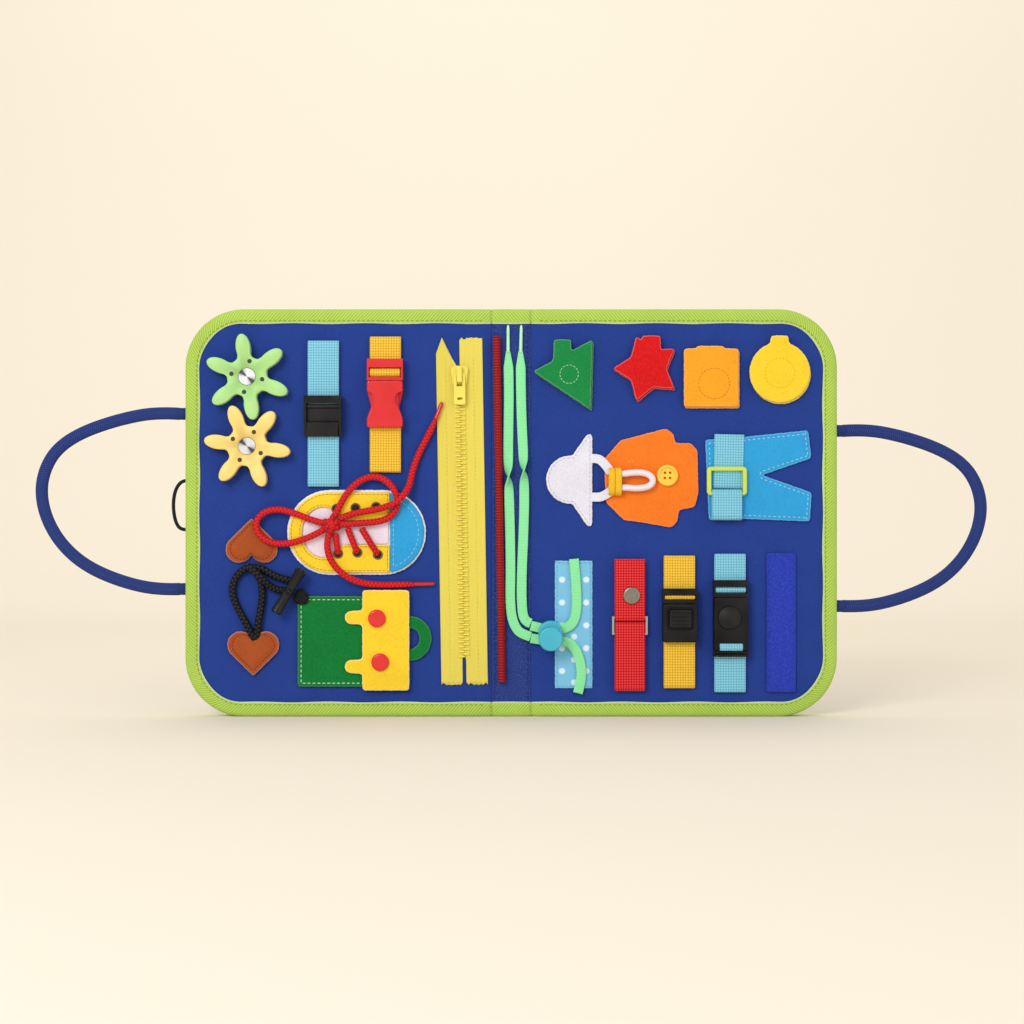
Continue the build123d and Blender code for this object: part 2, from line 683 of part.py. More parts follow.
TAPE_EDGE = TOOTH_L - TOOTH_OVERLAP - 1.6
TEETH = int((CHAIN_HIGH - CHAIN_LOW) / TOOTH_PITCH)
CHAIN_Z = (CHAIN_HIGH + CHAIN_LOW) / 2 - ZIP_Z
PINKS = 4
stringers = []
for sign in (-1, 1):
    step = (ZIP_W / 2 - TAPE_EDGE) / PINKS
    zigzag = [(sign * (TAPE_EDGE + step * (k + 0.5)), -ZIP_HALF_L + (PINK_H if k % 2 else 0))
              for k in range(PINKS)]
    top = ([(sign * ZIP_W / 2, ZIP_HALF_L - 10), (sign * ZIP_W * 0.37, ZIP_HALF_L)] if sign < 0
           else [(sign * ZIP_W / 2, ZIP_HALF_L), (sign * TAPE_EDGE, ZIP_HALF_L - PINK_H)])
    with BuildPart() as stringer:
        with BuildSketch(on_zip(0)):
            with BuildLine():
                Polyline((sign * TAPE_EDGE, -ZIP_HALF_L + PINK_H), *zigzag,
                         (sign * ZIP_W / 2, -ZIP_HALF_L + PINK_H), *top,
                         (sign * TAPE_EDGE, CHAIN_HIGH - ZIP_Z + 2), close=True)
            make_face()
        extrude(amount=ZIP_TAPE)
        with BuildSketch(on_zip(ZIP_TAPE)):
            with Locations((sign * (TOOTH_L / 2 - TOOTH_OVERLAP), CHAIN_Z + sign * TOOTH_PITCH / 4)):
                with GridLocations(0, TOOTH_PITCH, 1, TEETH):
                    Rectangle(TOOTH_L, TOOTH_W)
        extrude(amount=TOOTH_H)
    stringers.append(stringer.part)
keep(Compound(children=stringers), "zip_tapes")

# Zipper slider: a shield over the teeth with flanges beside them and a crown for the pull
PLATE_LOW = ZIP_TAPE + TOOTH_H + CLEAR
PLATE_TOP = PLATE_LOW + SLIDER_T
FLANGE_X = TOOTH_L - TOOTH_OVERLAP + CLEAR
SLIDER_Z = (SLIDER_LOW + SLIDER_HIGH) / 2 - ZIP_Z
SLIDER_L = SLIDER_HIGH - SLIDER_LOW
PULL_PIN_H = PLATE_TOP + CLEAR + PULL_T / 2
CROWN_LOW = PULL_PIN_H + PULL_T / 2 + CLEAR
with BuildPart() as zip_slider:
    with BuildSketch(on_zip(PLATE_LOW)) as shield:
        with BuildLine():
            Polyline((-FLANGE_X - FLANGE_T, SLIDER_Z - SLIDER_L / 2),
                     (FLANGE_X + FLANGE_T, SLIDER_Z - SLIDER_L / 2),
                     (SLIDER_W / 2, SLIDER_Z + SLIDER_L / 3), (SLIDER_W / 3, SLIDER_Z + SLIDER_L / 2),
                     (-SLIDER_W / 3, SLIDER_Z + SLIDER_L / 2), (-SLIDER_W / 2, SLIDER_Z + SLIDER_L / 3),
                     close=True)
        make_face()
        fillet(shield.vertices(), 0.8)
    extrude(amount=SLIDER_T)
    with BuildSketch(on_zip(ZIP_TAPE + CLEAR)):
        for sign in (-1, 1):
            with Locations((sign * (FLANGE_X + FLANGE_T / 2), SLIDER_Z - SLIDER_L / 2 + 0.8)):
                Rectangle(FLANGE_T, SLIDER_L * 0.7, align=(Align.CENTER, Align.MIN))
    extrude(amount=TOOTH_H + CLEAR)
    with BuildSketch(zip_side()):
        with Locations((PLATE_TOP, SLIDER_Z)):
            Rectangle(CROWN_LOW + CROWN_T - PLATE_TOP, SLIDER_L * 0.84, align=(Align.MIN, Align.CENTER))
            Rectangle(CROWN_LOW - PLATE_TOP, SLIDER_L * 0.84 - 2 * CROWN_T,
                      align=(Align.MIN, Align.CENTER), mode=Mode.SUBTRACT)
    extrude(amount=CROWN_W / 2, both=True)
keep(zip_slider.part, "zip_slider")

PULL_ARM = (PULL_W - CROWN_W) / 2 - CLEAR
with BuildPart() as zip_pull:
    with BuildSketch(on_zip(PULL_PIN_H - PULL_T / 2)) as tab:
        with Locations((0, SLIDER_Z + PULL_T / 2)):
            RectangleRounded(PULL_W, PULL_L, 1.6, align=(Align.CENTER, Align.MAX))
        with Locations((0, SLIDER_Z - PULL_T / 2)):
            Rectangle(PULL_W - 2 * PULL_ARM, PULL_WINDOW, align=(Align.CENTER, Align.MAX), mode=Mode.SUBTRACT)
        with Locations((0, SLIDER_Z - PULL_L + 4.2)):
            SlotOverall(PULL_W / 2, 1.6, mode=Mode.SUBTRACT)
    extrude(amount=PULL_T)
keep(zip_pull.part, "zip_pull")

# Shoe: white backing, yellow upper with its lacing slot and eyelets, blue toe cap
SHOE_X = (SHOE_LEFT + SHOE_RIGHT) / 2
SHOE_W = SHOE_RIGHT - SHOE_LEFT
UPPER_EYELETS = ((-106.9, 127.4), (-95.2, 128.0), (-82.6, 128.7))
LOWER_EYELETS = ((-105.8, 100.0), (-94.0, 100.7), (-81.5, 99.4))
with BuildPart() as shoe_backing:
    with BuildSketch(at(0)):
        with Locations((SHOE_X, SHOE_Z)):
            SlotOverall(SHOE_W, SHOE_H)
    extrude(amount=SHOE_BACKING)
keep(shoe_backing.part, "shoe_backing")

with BuildPart() as shoe_upper:
    with BuildSketch(at(SHOE_BACKING)) as upper_cut:
        with Locations((SHOE_X, SHOE_Z)):
            SlotOverall(SHOE_W - 2 * SHOE_BORDER, SHOE_H - 2 * SHOE_BORDER)
        with Locations((TOE_X - CLEAR, SHOE_Z)):
            Rectangle(SHOE_W, SHOE_H, align=(Align.MAX, Align.CENTER), mode=Mode.INTERSECT)
        with Locations((TONGUE_X, SHOE_Z)):
            Ellipse(*TONGUE_OVAL, mode=Mode.SUBTRACT)
            Rectangle(TOE_X - TONGUE_X, LACING_SLOT, align=(Align.MIN, Align.CENTER), mode=Mode.SUBTRACT)
        with Locations(*UPPER_EYELETS, *LOWER_EYELETS):
            Circle(EYELET_R, mode=Mode.SUBTRACT)
    extrude(amount=SHOE_FELT)
keep(shoe_upper.part, "shoe_upper")

with BuildPart() as shoe_toe_cap:
    with BuildSketch(at(SHOE_BACKING)):
        with Locations((SHOE_X, SHOE_Z)):
            SlotOverall(SHOE_W - SHOE_BORDER, SHOE_H - SHOE_BORDER)
        with Locations((TOE_X, SHOE_Z)):
            Rectangle(SHOE_W, SHOE_H, align=(Align.MIN, Align.CENTER), mode=Mode.INTERSECT)
    extrude(amount=SHOE_FELT)
keep(shoe_toe_cap.part, "shoe_toe_cap")

# Red shoe lace: knot, two bows, two free ends with tips, three strands down to the eyelets
LACE_ON_SHOE = SHOE_BACKING + SHOE_FELT + LACE_D / 2 + CLEAR
LACE_ON_FELT = LACE_D / 2 + CLEAR
KNOT_AT = (-109.4, 117.8)
KNOT_R = 4.4


def lace_route(points):
    """Lace points (x, z, height of the lace's middle) in space."""
    return [spot(x, z, height) for x, z, height in points]


HIGH = LACE_ON_SHOE
KNOT_H = HIGH + CLEAR
LEFT_BOW = [(-114.2, 118.6, HIGH), (-122, 120.6, HIGH), (-131, 124.4, HIGH), (-141, 127.4, 4.6),
            (-150.5, 126.2, 4.4), (-156.3, 120, 4.6), (-155, 112, 4.8), (-147.5, 106.6, 4.9),
            (-137.5, 105.8, 5.4), (-128, 108.2, HIGH), (-119.6, 111.6, HIGH), (-113.6, 115.2, HIGH)]
UPPER_BOW = [(-108.2, 122.6, HIGH), (-105, 128.5, HIGH), (-101, 136, HIGH), (-94.5, 143.6, 5.4),
             (-85.5, 147.8, 4.2), (-76.5, 145.4, 5.0), (-70.4, 138.2, HIGH), (-68.8, 130, HIGH),
             (-72.8, 122.6, HIGH), (-81, 119.3, HIGH), (-91, 118.9, HIGH), (-98, 118.2, HIGH),
             (-104.6, 117.9, HIGH)]
UPPER_END = [(-104.8, 121.4, HIGH), (-98, 124.2, HIGH), (-90, 125.8, HIGH), (-81, 127.2, 7.4),
             (-73, 129.6, 10.7), (-66.4, 134, 10.2), (-62, 141.5, 6.2), (-60.4, 151, 3.4),
             (-56.4, 162, LACE_ON_FELT), (-50.6, 172.6, 2.5), (-46.4, 182, 3.3)]
LOWER_END = [(-110.8, 113.2, HIGH), (-112.6, 107, HIGH), (-111.6, 99, HIGH), (-107.3, 91.6, HIGH),
             (-100, 85.4, HIGH), (-91, 81.8, 3.4), (-80, 80.8, LACE_ON_FELT), (-69, 81, LACE_ON_FELT),
             (-59, 81.3, LACE_ON_FELT)]
STRANDS = [((-107.2, 112.2), LOWER_EYELETS[0]), ((-99.8, 115.4), LOWER_EYELETS[1]),
           ((-91.4, 115.4), LOWER_EYELETS[2])]
lace_solids = [tube(lace_route(LEFT_BOW), LACE_D, "left_bow"),
               tube(lace_route(UPPER_BOW), LACE_D, "upper_bow"),
               tube(lace_route(UPPER_END), LACE_D, "upper_lace_end"),
               tube(lace_route(LOWER_END), LACE_D, "lower_lace_end")]
with BuildPart() as knot:
    with Locations(spot(*KNOT_AT, KNOT_H)):
        Sphere(KNOT_R)
lace_solids.append(knot.part)
for (x0, z0), (x1, z1) in STRANDS:
    with BuildPart() as strand:
        top_point, eyelet = spot(x0, z0, HIGH), spot(x1, z1, HIGH)
        with BuildLine() as strand_line:
            Line(top_point, eyelet)
        with BuildSketch(Plane(origin=top_point, z_dir=eyelet - top_point)):
            Circle(LACE_D / 2 - CLEAR)
        sweep(path=strand_line.wire())
        with BuildSketch(at(SHOE_BACKING)):
            with Locations((x1, z1)):
                Circle(LACE_D / 2 - CLEAR)
        extrude(amount=HIGH - SHOE_BACKING)
        with Locations(eyelet):
            Sphere(LACE_D / 2 - CLEAR)
    lace_solids.append(strand.part)
LACE_TIPS = ((UPPER_END, spot(-42.2, 192.8, 2.6)), (LOWER_END, spot(-47.0, 81.5, LACE_ON_FELT)))
for route, tip in LACE_TIPS:
    with BuildPart() as lace_tip:
        last = spot(*route[-1])
        with BuildLine() as tip_line:
            Line(last, tip)
        with BuildSketch(Plane(origin=last, z_dir=tip - last)):
            Circle(LACE_TIP_D / 2)
        sweep(path=tip_line.wire())
    lace_solids.append(lace_tip.part)
lace_parts = []
for solid in lace_solids:
    for other in lace_parts:
        solid = solid - other
    lace_parts.append(solid)
keep(Compound(children=[s for part in lace_parts for s in part.solids()]), "shoe_lace")


def heart(foot, turn):
    """Heart whose foot is at a point: two round lobes and straight sides that touch them."""
    lobe_x, lobe_y = HEART_W / 2 - HEART_LOBE, HEART_H - HEART_LOBE
    reach = hypot(lobe_x, lobe_y)
    lean = atan2(lobe_y, lobe_x) - asin(HEART_LOBE / reach)
    touch = sqrt(reach ** 2 - HEART_LOBE ** 2)
    notch = lobe_y + sqrt(HEART_LOBE ** 2 - lobe_x ** 2)
    with Locations(Location((*foot, 0), (0, 0, turn))):
        with Locations((lobe_x, lobe_y), (-lobe_x, lobe_y)):
            Circle(HEART_LOBE)
        Polygon((0, 0), (touch * cos(lean), touch * sin(lean)), (0, notch),
                (-touch * cos(lean), touch * sin(lean)), align=None)


with BuildPart() as heart_patches:
    with BuildSketch(at(0)):
        heart(UPPER_HEART, 180)
        heart(LOWER_HEART, 0)
    extrude(amount=HEART_T)
keep(heart_patches.part, "heart_patches")

# Black cords from heart to heart and to the toggle
CORD_LIE = CORD_D / 2 + CLEAR
CORD_ON_HEART = HEART_T + CORD_LIE
LOOP_ROUTE = [(-158.6, 46, CORD_ON_HEART), (-161, 54.5, CORD_ON_HEART), (-165.4, 63, CORD_LIE),
              (-169.8, 71.5, CORD_LIE), (-171, 80, CORD_LIE), (-167.8, 87, CORD_LIE),
              (-162.3, 91.5, CORD_LIE)]
RETURN_ROUTE = [(-153.2, 47.5, CORD_ON_HEART), (-154.2, 56, CORD_ON_HEART), (-152.6, 65, CORD_LIE),
                (-152, 74, CORD_LIE), (-153.8, 82, CORD_LIE), (-158.2, 88, CORD_LIE)]
TOGGLE_TOP = [(-153.2, 91.5, CORD_LIE), (-147.4, 87.6, CORD_LIE), (-141.2, 85, CORD_LIE),
              (-134.6, 83.4, CORD_LIE)]
TOGGLE_LOW = [(-147.6, 82.2, CORD_LIE), (-144.2, 78.6, CORD_LIE), (-139.8, 77, CORD_LIE),
              (-134.6, 77.4, CORD_LIE)]
cord_parts = []
for route, name in ((LOOP_ROUTE, "heart_loop_left"), (RETURN_ROUTE, "heart_loop_right"),
                    (TOGGLE_TOP, "toggle_cord_top"), (TOGGLE_LOW, "toggle_cord_low")):
    cord_parts.append(tube(lace_route(route), CORD_D, name))
low_cord = cord_parts[-1]
with BuildPart() as toggle_knot:
    with Locations(spot(*TOGGLE_KNOT, CORD_LIE)):
        Sphere(CORD_D / 2 + CLEAR)
cord_parts.append(toggle_knot.part)
TOGGLE_H = 2 * CORD_LIE + CLEAR + TOGGLE_D / 2
with BuildPart() as toggle_stem:
    with BuildSketch(at(CORD_LIE)):
        with Locations((TOGGLE_X, TOGGLE_Z)):
            Circle(TOGGLE_EYE_R - CLEAR)
    extrude(amount=TOGGLE_H + TOGGLE_D / 2 - TOGGLE_WAIST - CORD_LIE)
cord_parts.append(toggle_stem.part - low_cord)
keep(Compound(children=cord_parts), "toggle_cords")

# Toggle bar: a waisted barrel that turns on the end of the cord through its middle
with BuildPart() as toggle_bar:
    axis = Vector(cos(radians(TOGGLE_TURN)), 0, sin(radians(TOGGLE_TURN)))
    with BuildSketch(Plane(origin=spot(TOGGLE_X, TOGGLE_Z, TOGGLE_H), x_dir=axis, z_dir=(0, -1, 0))):
        with BuildLine():
            end, waist = TOGGLE_D / 2, TOGGLE_D / 2 - TOGGLE_WAIST
            tip, lip = TOGGLE_L / 2, TOGGLE_L / 2 - TOGGLE_CHAMFER
            Polyline((-tip, 0), (-tip, end - TOGGLE_CHAMFER), (-lip, end))
            ThreePointArc((-lip, end), (0, waist), (lip, end))
            Polyline((lip, end), (tip, end - TOGGLE_CHAMFER), (tip, 0), (-tip, 0))
        make_face()
    revolve(axis=Axis(spot(TOGGLE_X, TOGGLE_Z, TOGGLE_H), axis))
    with BuildSketch(at(0)):
        with Locations((TOGGLE_X, TOGGLE_Z)):
            Circle(TOGGLE_EYE_R)
    extrude(amount=TOGGLE_H + TOGGLE_D, mode=Mode.SUBTRACT)
keep(toggle_bar.part, "toggle_bar")

# Bag: pocket with a half-ring handle, flap with two tabs, snap caps
with BuildPart() as bag_pocket:
    with BuildSketch(at(0)):
        with Locations((BAG_LEFT, BAG_LOW)):
            Rectangle(BAG_RIGHT - BAG_LEFT, BAG_HIGH - BAG_LOW, align=(Align.MIN, Align.MIN))
        with Locations((BAG_RIGHT, BAG_GRIP_Z)):
            Circle(BAG_GRIP_R)
        with Locations((BAG_RIGHT + CLEAR, BAG_GRIP_Z)):
            Circle(BAG_GRIP_IN, mode=Mode.SUBTRACT)
        with Locations((BAG_LEFT, BAG_LOW)):
            Rectangle(BAG_RIGHT - BAG_LEFT, BAG_HIGH - BAG_LOW, align=(Align.MIN, Align.MIN))
    extrude(amount=BAG_T)
keep(bag_pocket.part, "bag_pocket")

FLAP_BACK = BAG_T + CLEAR
FLAP_HINGE_X = BAG_RIGHT - CLEAR
with BuildPart() as bag_flap:
    with BuildSketch(at(FLAP_BACK)):
        with Locations(((FLAP_LEFT + FLAP_HINGE_X) / 2, (FLAP_LOW + FLAP_HIGH) / 2)):
            RectangleRounded(FLAP_HINGE_X - FLAP_LEFT, FLAP_HIGH - FLAP_LOW, 3)
        for z in FLAP_TABS:
            with Locations((FLAP_LEFT, z)):
                SlotOverall(2 * FLAP_TAB_L, FLAP_TAB_H)
    extrude(amount=FLAP_T)
keep(bag_flap.part, "bag_flap")

with BuildPart() as bag_snaps:
    with BuildSketch(at(FLAP_BACK + FLAP_T)):
        with Locations(*BAG_SNAPS):
            Circle(BAG_SNAP_R)
    extrude(amount=BAG_SNAP_T)
    fillet(bag_snaps.faces().filter_by(Axis.Y).group_by(Axis.Y)[0].edges(), 1.2)
keep(bag_snaps.part, "bag_snaps")

# Mint laces: down the spine, through the cord lock, and over the ribbon
LACE_FOLD = SPINE_W / 2
LACE_GAP = 2 * CLEAR
FREE = MINT_LIE + MINT_T / 2
LEFT_LACE = [(-1.9, 224), (-1.3, 203), (-1.6, 180), (-1.9, 156), (-1.2, 132), (-0.6, 108), (-0.4, 88),
             (-0.7, 73), (0, 62), (2.6, 54.4), (6.8, 50.4), (14, 48.6)]
RIGHT_LACE = [(5.8, 224), (5.9, 203), (6.5, 180), (7.6, 157), (8.1, 134), (7.5, 112), (6.6, 92), (6.3, 77),
              (6.6, 67), (7.4, 61), (10, 57.6), (14.6, 56.4)]
mint_parts = []
for route, tip_x, name in ((LEFT_LACE, -1.9, "left_lace"), (RIGHT_LACE, 6.2, "right_lace")):
    with BuildPart() as mint_lace:
        add(flat_lace(lace_route([(x, z, FREE) for x, z in route]), name))
        split(bisect_by=Plane(origin=(LACE_FOLD - LACE_GAP, 0, 0), z_dir=(1, 0, 0)), keep=Keep.BOTTOM)
    start_x, start_z = route[0]
    foot, head = spot(start_x, start_z, FREE), spot(tip_x, start_z + MINT_TIP_L, FREE)
    with BuildPart() as mint_tip:
        with BuildLine() as mint_line:
            Line(foot, head)
        with BuildSketch(Plane(origin=foot, z_dir=head - foot)):
            Circle(MINT_TIP_D / 2)
        sweep(path=mint_line.wire())
    mint_parts += [mint_lace.part, mint_tip.part - mint_lace.part]
keep(Compound(children=mint_parts), "mint_laces")

# Cord lock: an oval barrel with a slot for the laces, and a sprung button over its lower end
LOCK_BACK = RIBBON_T + CLEAR
LOCK_SLOT_TOP = LOCK_BACK + LOCK_SLOT_LOW + LOCK_SLOT_H
LOCK_BUTTON_Z = LOCK_Z - (LOCK_L - LOCK_W) / 2
with BuildPart() as cord_lock_body:
    with BuildSketch(at(LOCK_BACK)):
        with Locations((LOCK_X, LOCK_Z)):
            SlotOverall(LOCK_L, LOCK_W, rotation=90)
    extrude(amount=LOCK_BARREL)
    fillet(cord_lock_body.faces().sort_by(Axis.Y)[0].edges(), 1.0)
    with BuildSketch(at(LOCK_SLOT_TOP)):
        with Locations((LOCK_X, LOCK_BUTTON_Z)):
            Circle(LOCK_STEM_R + CLEAR)
    extrude(amount=LOCK_BARREL, mode=Mode.SUBTRACT)
    with BuildSketch(at(LOCK_BACK + LOCK_SLOT_LOW)):
        with Locations((LOCK_X, LOCK_Z)):
            Rectangle(2 * LOCK_W, LOCK_L - 2 * LOCK_WALL)
    extrude(amount=LOCK_SLOT_H, mode=Mode.SUBTRACT)
keep(cord_lock_body.part, "cord_lock_body")

BUTTON_SEAT = LOCK_BACK + LOCK_BARREL + LOCK_TRAVEL + CLEAR
STEM_END = LOCK_SLOT_TOP + LOCK_TRAVEL + CLEAR
with BuildPart() as cord_lock_button:
    with BuildSketch(at(BUTTON_SEAT)):
        with Locations((LOCK_X, LOCK_BUTTON_Z)):
            Circle(LOCK_W / 2)
    extrude(amount=LOCK_BUTTON_T)
    fillet(cord_lock_button.faces().sort_by(Axis.Y)[0].edges(), 1.2)
    with BuildSketch(at(STEM_END)):
        with Locations((LOCK_X, LOCK_BUTTON_Z)):
            Circle(LOCK_STEM_R)
    extrude(amount=BUTTON_SEAT - STEM_END)
keep(cord_lock_button.part, "cord_lock_button")

IN_LOCK = LOCK_BACK + LOCK_SLOT_LOW + CLEAR + MINT_T / 2
UPPER_TAIL = [(11, 56.2), (18.5, 54.2), (24.5, 53.6), (31, 53.8), (36.4, 55.8), (39.4, 61.2), (40.2, 69.5),
              (39.9, 78.5), (39.2, 87.8), (38.4, 96.8)]
LOWER_TAIL = [(11, 48.4), (18.5, 47.2), (24.5, 46.8), (31, 46.8), (36.4, 45.2), (40.4, 40), (42.8, 32),
              (43.2, 23.2), (40.8, 14.6)]
tail_parts = []
for route, name in ((UPPER_TAIL, "upper_tail"), (LOWER_TAIL, "lower_tail")):
    with BuildPart() as tail:
        add(flat_lace(lace_route([(x, z, IN_LOCK) for x, z in route]), name))
        split(bisect_by=Plane(origin=(LACE_FOLD + 2 * LACE_GAP, 0, 0), z_dir=(1, 0, 0)), keep=Keep.TOP)
    tail_parts.append(tail.part)
keep(Compound(children=tail_parts), "lace_tails")

# Strips sewn flat: the dotted ribbon and the hook-and-loop strip
with BuildPart() as ribbon:
    with BuildSketch(at(0)):
        with Locations((RIBBON_X, (RIBBON_LOW + RIBBON_HIGH) / 2)):
            Rectangle(RIBBON_W, RIBBON_HIGH - RIBBON_LOW)
    extrude(amount=RIBBON_T)
with BuildPart() as hook_strip:
    with BuildSketch(at(0)):
        with Locations((HOOK_X, (HOOK_LOW + HOOK_HIGH) / 2)):
            Rectangle(HOOK_W, HOOK_HIGH - HOOK_LOW)
    extrude(amount=HOOK_T)
keep(Compound(children=[ribbon.part, hook_strip.part]), "sewn_strips")

# Shape games: a sewn base each, and a lift-off patch of the same outline with a pull tab
TRIANGLE = [(13.4, 211.5), (49.7, 231.0), (48.6, 188.0)]
STAR = [(STAR_AT[0] + r * cos(radians(36 + 36 * k)), STAR_AT[1] + r * sin(radians(36 + 36 * k)))
        for k, r in enumerate([STAR_R, STAR_IN] * 5)]


def shape_sketch(name, tab):
    """Outline of one shape game, with its pull tab on the patch that lifts off."""
    if name == "triangle":
        Polygon(*TRIANGLE, align=None)
        tab_x, tab_w = 31.4, 10.6
        tab_foot = 216.0
    elif name == "star":
        Polygon(*STAR, align=None)
        tab_x, tab_w, tab_foot = 85.6, 11.4, STAR_AT[1]
    elif name == "square":
        with Locations(SQUARE_AT):
            RectangleRounded(SQUARE_W, SQUARE_H, 1.2)
        tab_x, tab_w, tab_foot = 121.6, 16.5, SQUARE_AT[1]
    else:
        with Locations(CIRCLE_AT):
            Circle(CIRCLE_R)
        tab_x, tab_w, tab_foot = 164.2, 10.6, CIRCLE_AT[1]
    if tab:
        top = {"triangle": TRIANGLE_TAB_TOP, "square": SQUARE_AT[1] + SQUARE_H / 2 + 1.6}.get(name, SHAPE_TAB_TOP)
        with Locations((tab_x, tab_foot)):
            Rectangle(tab_w, top - tab_foot, align=(Align.CENTER, Align.MIN))


SHAPES = ("triangle", "star", "square", "circle")
shape_bases = []
for name in SHAPES:
    with BuildPart() as base:
        with BuildSketch(at(0)):
            shape_sketch(name, False)
        extrude(amount=SHAPE_T)
    shape_bases.append(base.part)
    with BuildPart() as patch:
        with BuildSketch(at(SHAPE_T + CLEAR)):
            shape_sketch(name, True)
        extrude(amount=SHAPE_T)
    keep(patch.part, f"{name}_patch")
keep(Compound(children=shape_bases), "shape_bases")

# Hat lying on its side, with two white bands that run to the keeper on the coat
with BuildPart() as hat:
    with BuildSketch(at(0)) as hat_cut:
        with BuildLine():
            Line(HAT_NECK_HIGH, HAT_BRIM_HIGH[0])
            ThreePointArc(*HAT_BRIM_HIGH)
            Line(HAT_BRIM_HIGH[-1], HAT_BRIM_LOW[0])
            ThreePointArc(*HAT_BRIM_LOW)
            Line(HAT_BRIM_LOW[-1], HAT_NECK_LOW)
            Line(HAT_NECK_LOW, HAT_CROWN[0])
            ThreePointArc(*HAT_CROWN)
            Line(HAT_CROWN[-1], HAT_NECK_HIGH)
        make_face()
    extrude(amount=GARMENT_T)
keep(hat.part, "hat")

COAT = [(57, 157.8), (67, 169.4), (94.9, 176.7), (99.6, 173.2), (100.6, 167.8), (110.4, 167.6),
        (114.2, 163.0), (114.8, 137.0), (112.5, 128.6), (102.8, 126.6), (102.0, 120.0), (98.2, 115.9),
        (79.5, 119.2), (69, 120.5), (58, 131.6)]
keep(felt_patch(COAT, 0, GARMENT_T, 1.4), "coat")

TROUSERS = [(118.9, 169.8), (143, 171.6), (182, 175.6), (184, 158.5), (153.8, 148.1), (184.2, 137.4),
            (183, 119.7), (139.7, 121.4), (121.2, 120.5)]
keep(felt_patch(TROUSERS, 0, GARMENT_T, 1.2), "trousers")

# Sewn buttons: the four-hole one on the coat, and the closure button on the back
with BuildPart() as coat_button:
    with BuildSketch(at(GARMENT_T)):
        with Locations(COAT_BUTTON_AT):
            Circle(COAT_BUTTON_R)
    extrude(amount=COAT_BUTTON_T)
    fillet(coat_button.faces().sort_by(Axis.Y)[0].edges(), 0.9)
    with BuildSketch(at(GARMENT_T + COAT_BUTTON_T - 0.9)):
        with Locations(COAT_BUTTON_AT):
            Circle(COAT_BUTTON_R - 1.6)
    extrude(amount=COAT_BUTTON_T, mode=Mode.SUBTRACT)
    with BuildSketch(at(GARMENT_T)):
        with Locations(COAT_BUTTON_AT):
            with GridLocations(3.2, 3.2, 2, 2):
                Circle(0.8)
    extrude(amount=COAT_BUTTON_T, mode=Mode.SUBTRACT)
with BuildPart() as closure_button:
    with BuildSketch(Plane.XZ.offset(-PANEL / 2)):
        with Locations((CLOSURE_X, CLOSURE_Z)):
            Circle(CLOSURE_BUTTON_R / 2)
    extrude(amount=-CLOSURE_BUTTON_T)
    with BuildSketch(Plane.XZ.offset(-PANEL / 2 - CLOSURE_BUTTON_T)):
        with Locations((CLOSURE_X, CLOSURE_Z)):
            Circle(CLOSURE_BUTTON_R)
    extrude(amount=-CLOSURE_BUTTON_T)
    fillet(closure_button.faces().sort_by(Axis.Y)[-1].edges(), 1.5)
keep(Compound(children=[coat_button.part, closure_button.part]), "sewn_buttons")

# White elastic: two flat bands from the hat, and the round button loop on the coat
KEEPER_SPAN_Z = (KEEPER_Z[0] + KEEPER_Z[1]) / 2
KEEPER_H = 2 * KEEPER_WALL + ELASTIC_LOOP_D + 2 * CLEAR
LOOP_H = GARMENT_T + KEEPER_WALL + CLEAR + ELASTIC_LOOP_D / 2
elastic_parts = []
for z in (BAND_UPPER_Z, BAND_LOWER_Z):
    with BuildPart() as band:
        with BuildSketch(at(GARMENT_T)):
            with Locations((BAND_START_X, z)):
                Rectangle(KEEPER_X[0] - CLEAR - BAND_START_X, BAND_W, align=(Align.MIN, Align.CENTER))
        extrude(amount=BAND_T)
    elastic_parts.append(band.part)
BUTTON_LOOP = [(60.2, 148.2), (67.5, 148.5), (75, 149.8), (81.8, 149.4), (86, 147), (86.7, 143.6),
               (83.8, 140.8), (77, 139.8), (68.5, 140.6), (60.2, 140.4)]
loop_points = [(x, z, LOOP_H) for x, z in BUTTON_LOOP]
elastic_parts.append(tube(lace_route(loop_points), ELASTIC_LOOP_D, "button_loop"))
keep(Compound(children=elastic_parts), "elastic_loop")

with BuildPart() as loop_keeper:
    with BuildSketch(side(KEEPER_X[0])):
        with Locations((GARMENT_T + KEEPER_H / 2, KEEPER_SPAN_Z)):
            RectangleRounded(KEEPER_H, KEEPER_Z[1] - KEEPER_Z[0], KEEPER_H / 2 - 0.5)
            RectangleRounded(KEEPER_H - 2 * KEEPER_WALL, KEEPER_Z[1] - KEEPER_Z[0] - 2 * KEEPER_WALL,
                             KEEPER_H / 2 - KEEPER_WALL - 0.5, mode=Mode.SUBTRACT)
    extrude(amount=-(KEEPER_X[1] - KEEPER_X[0]))
keep(loop_keeper.part, "loop_keeper")

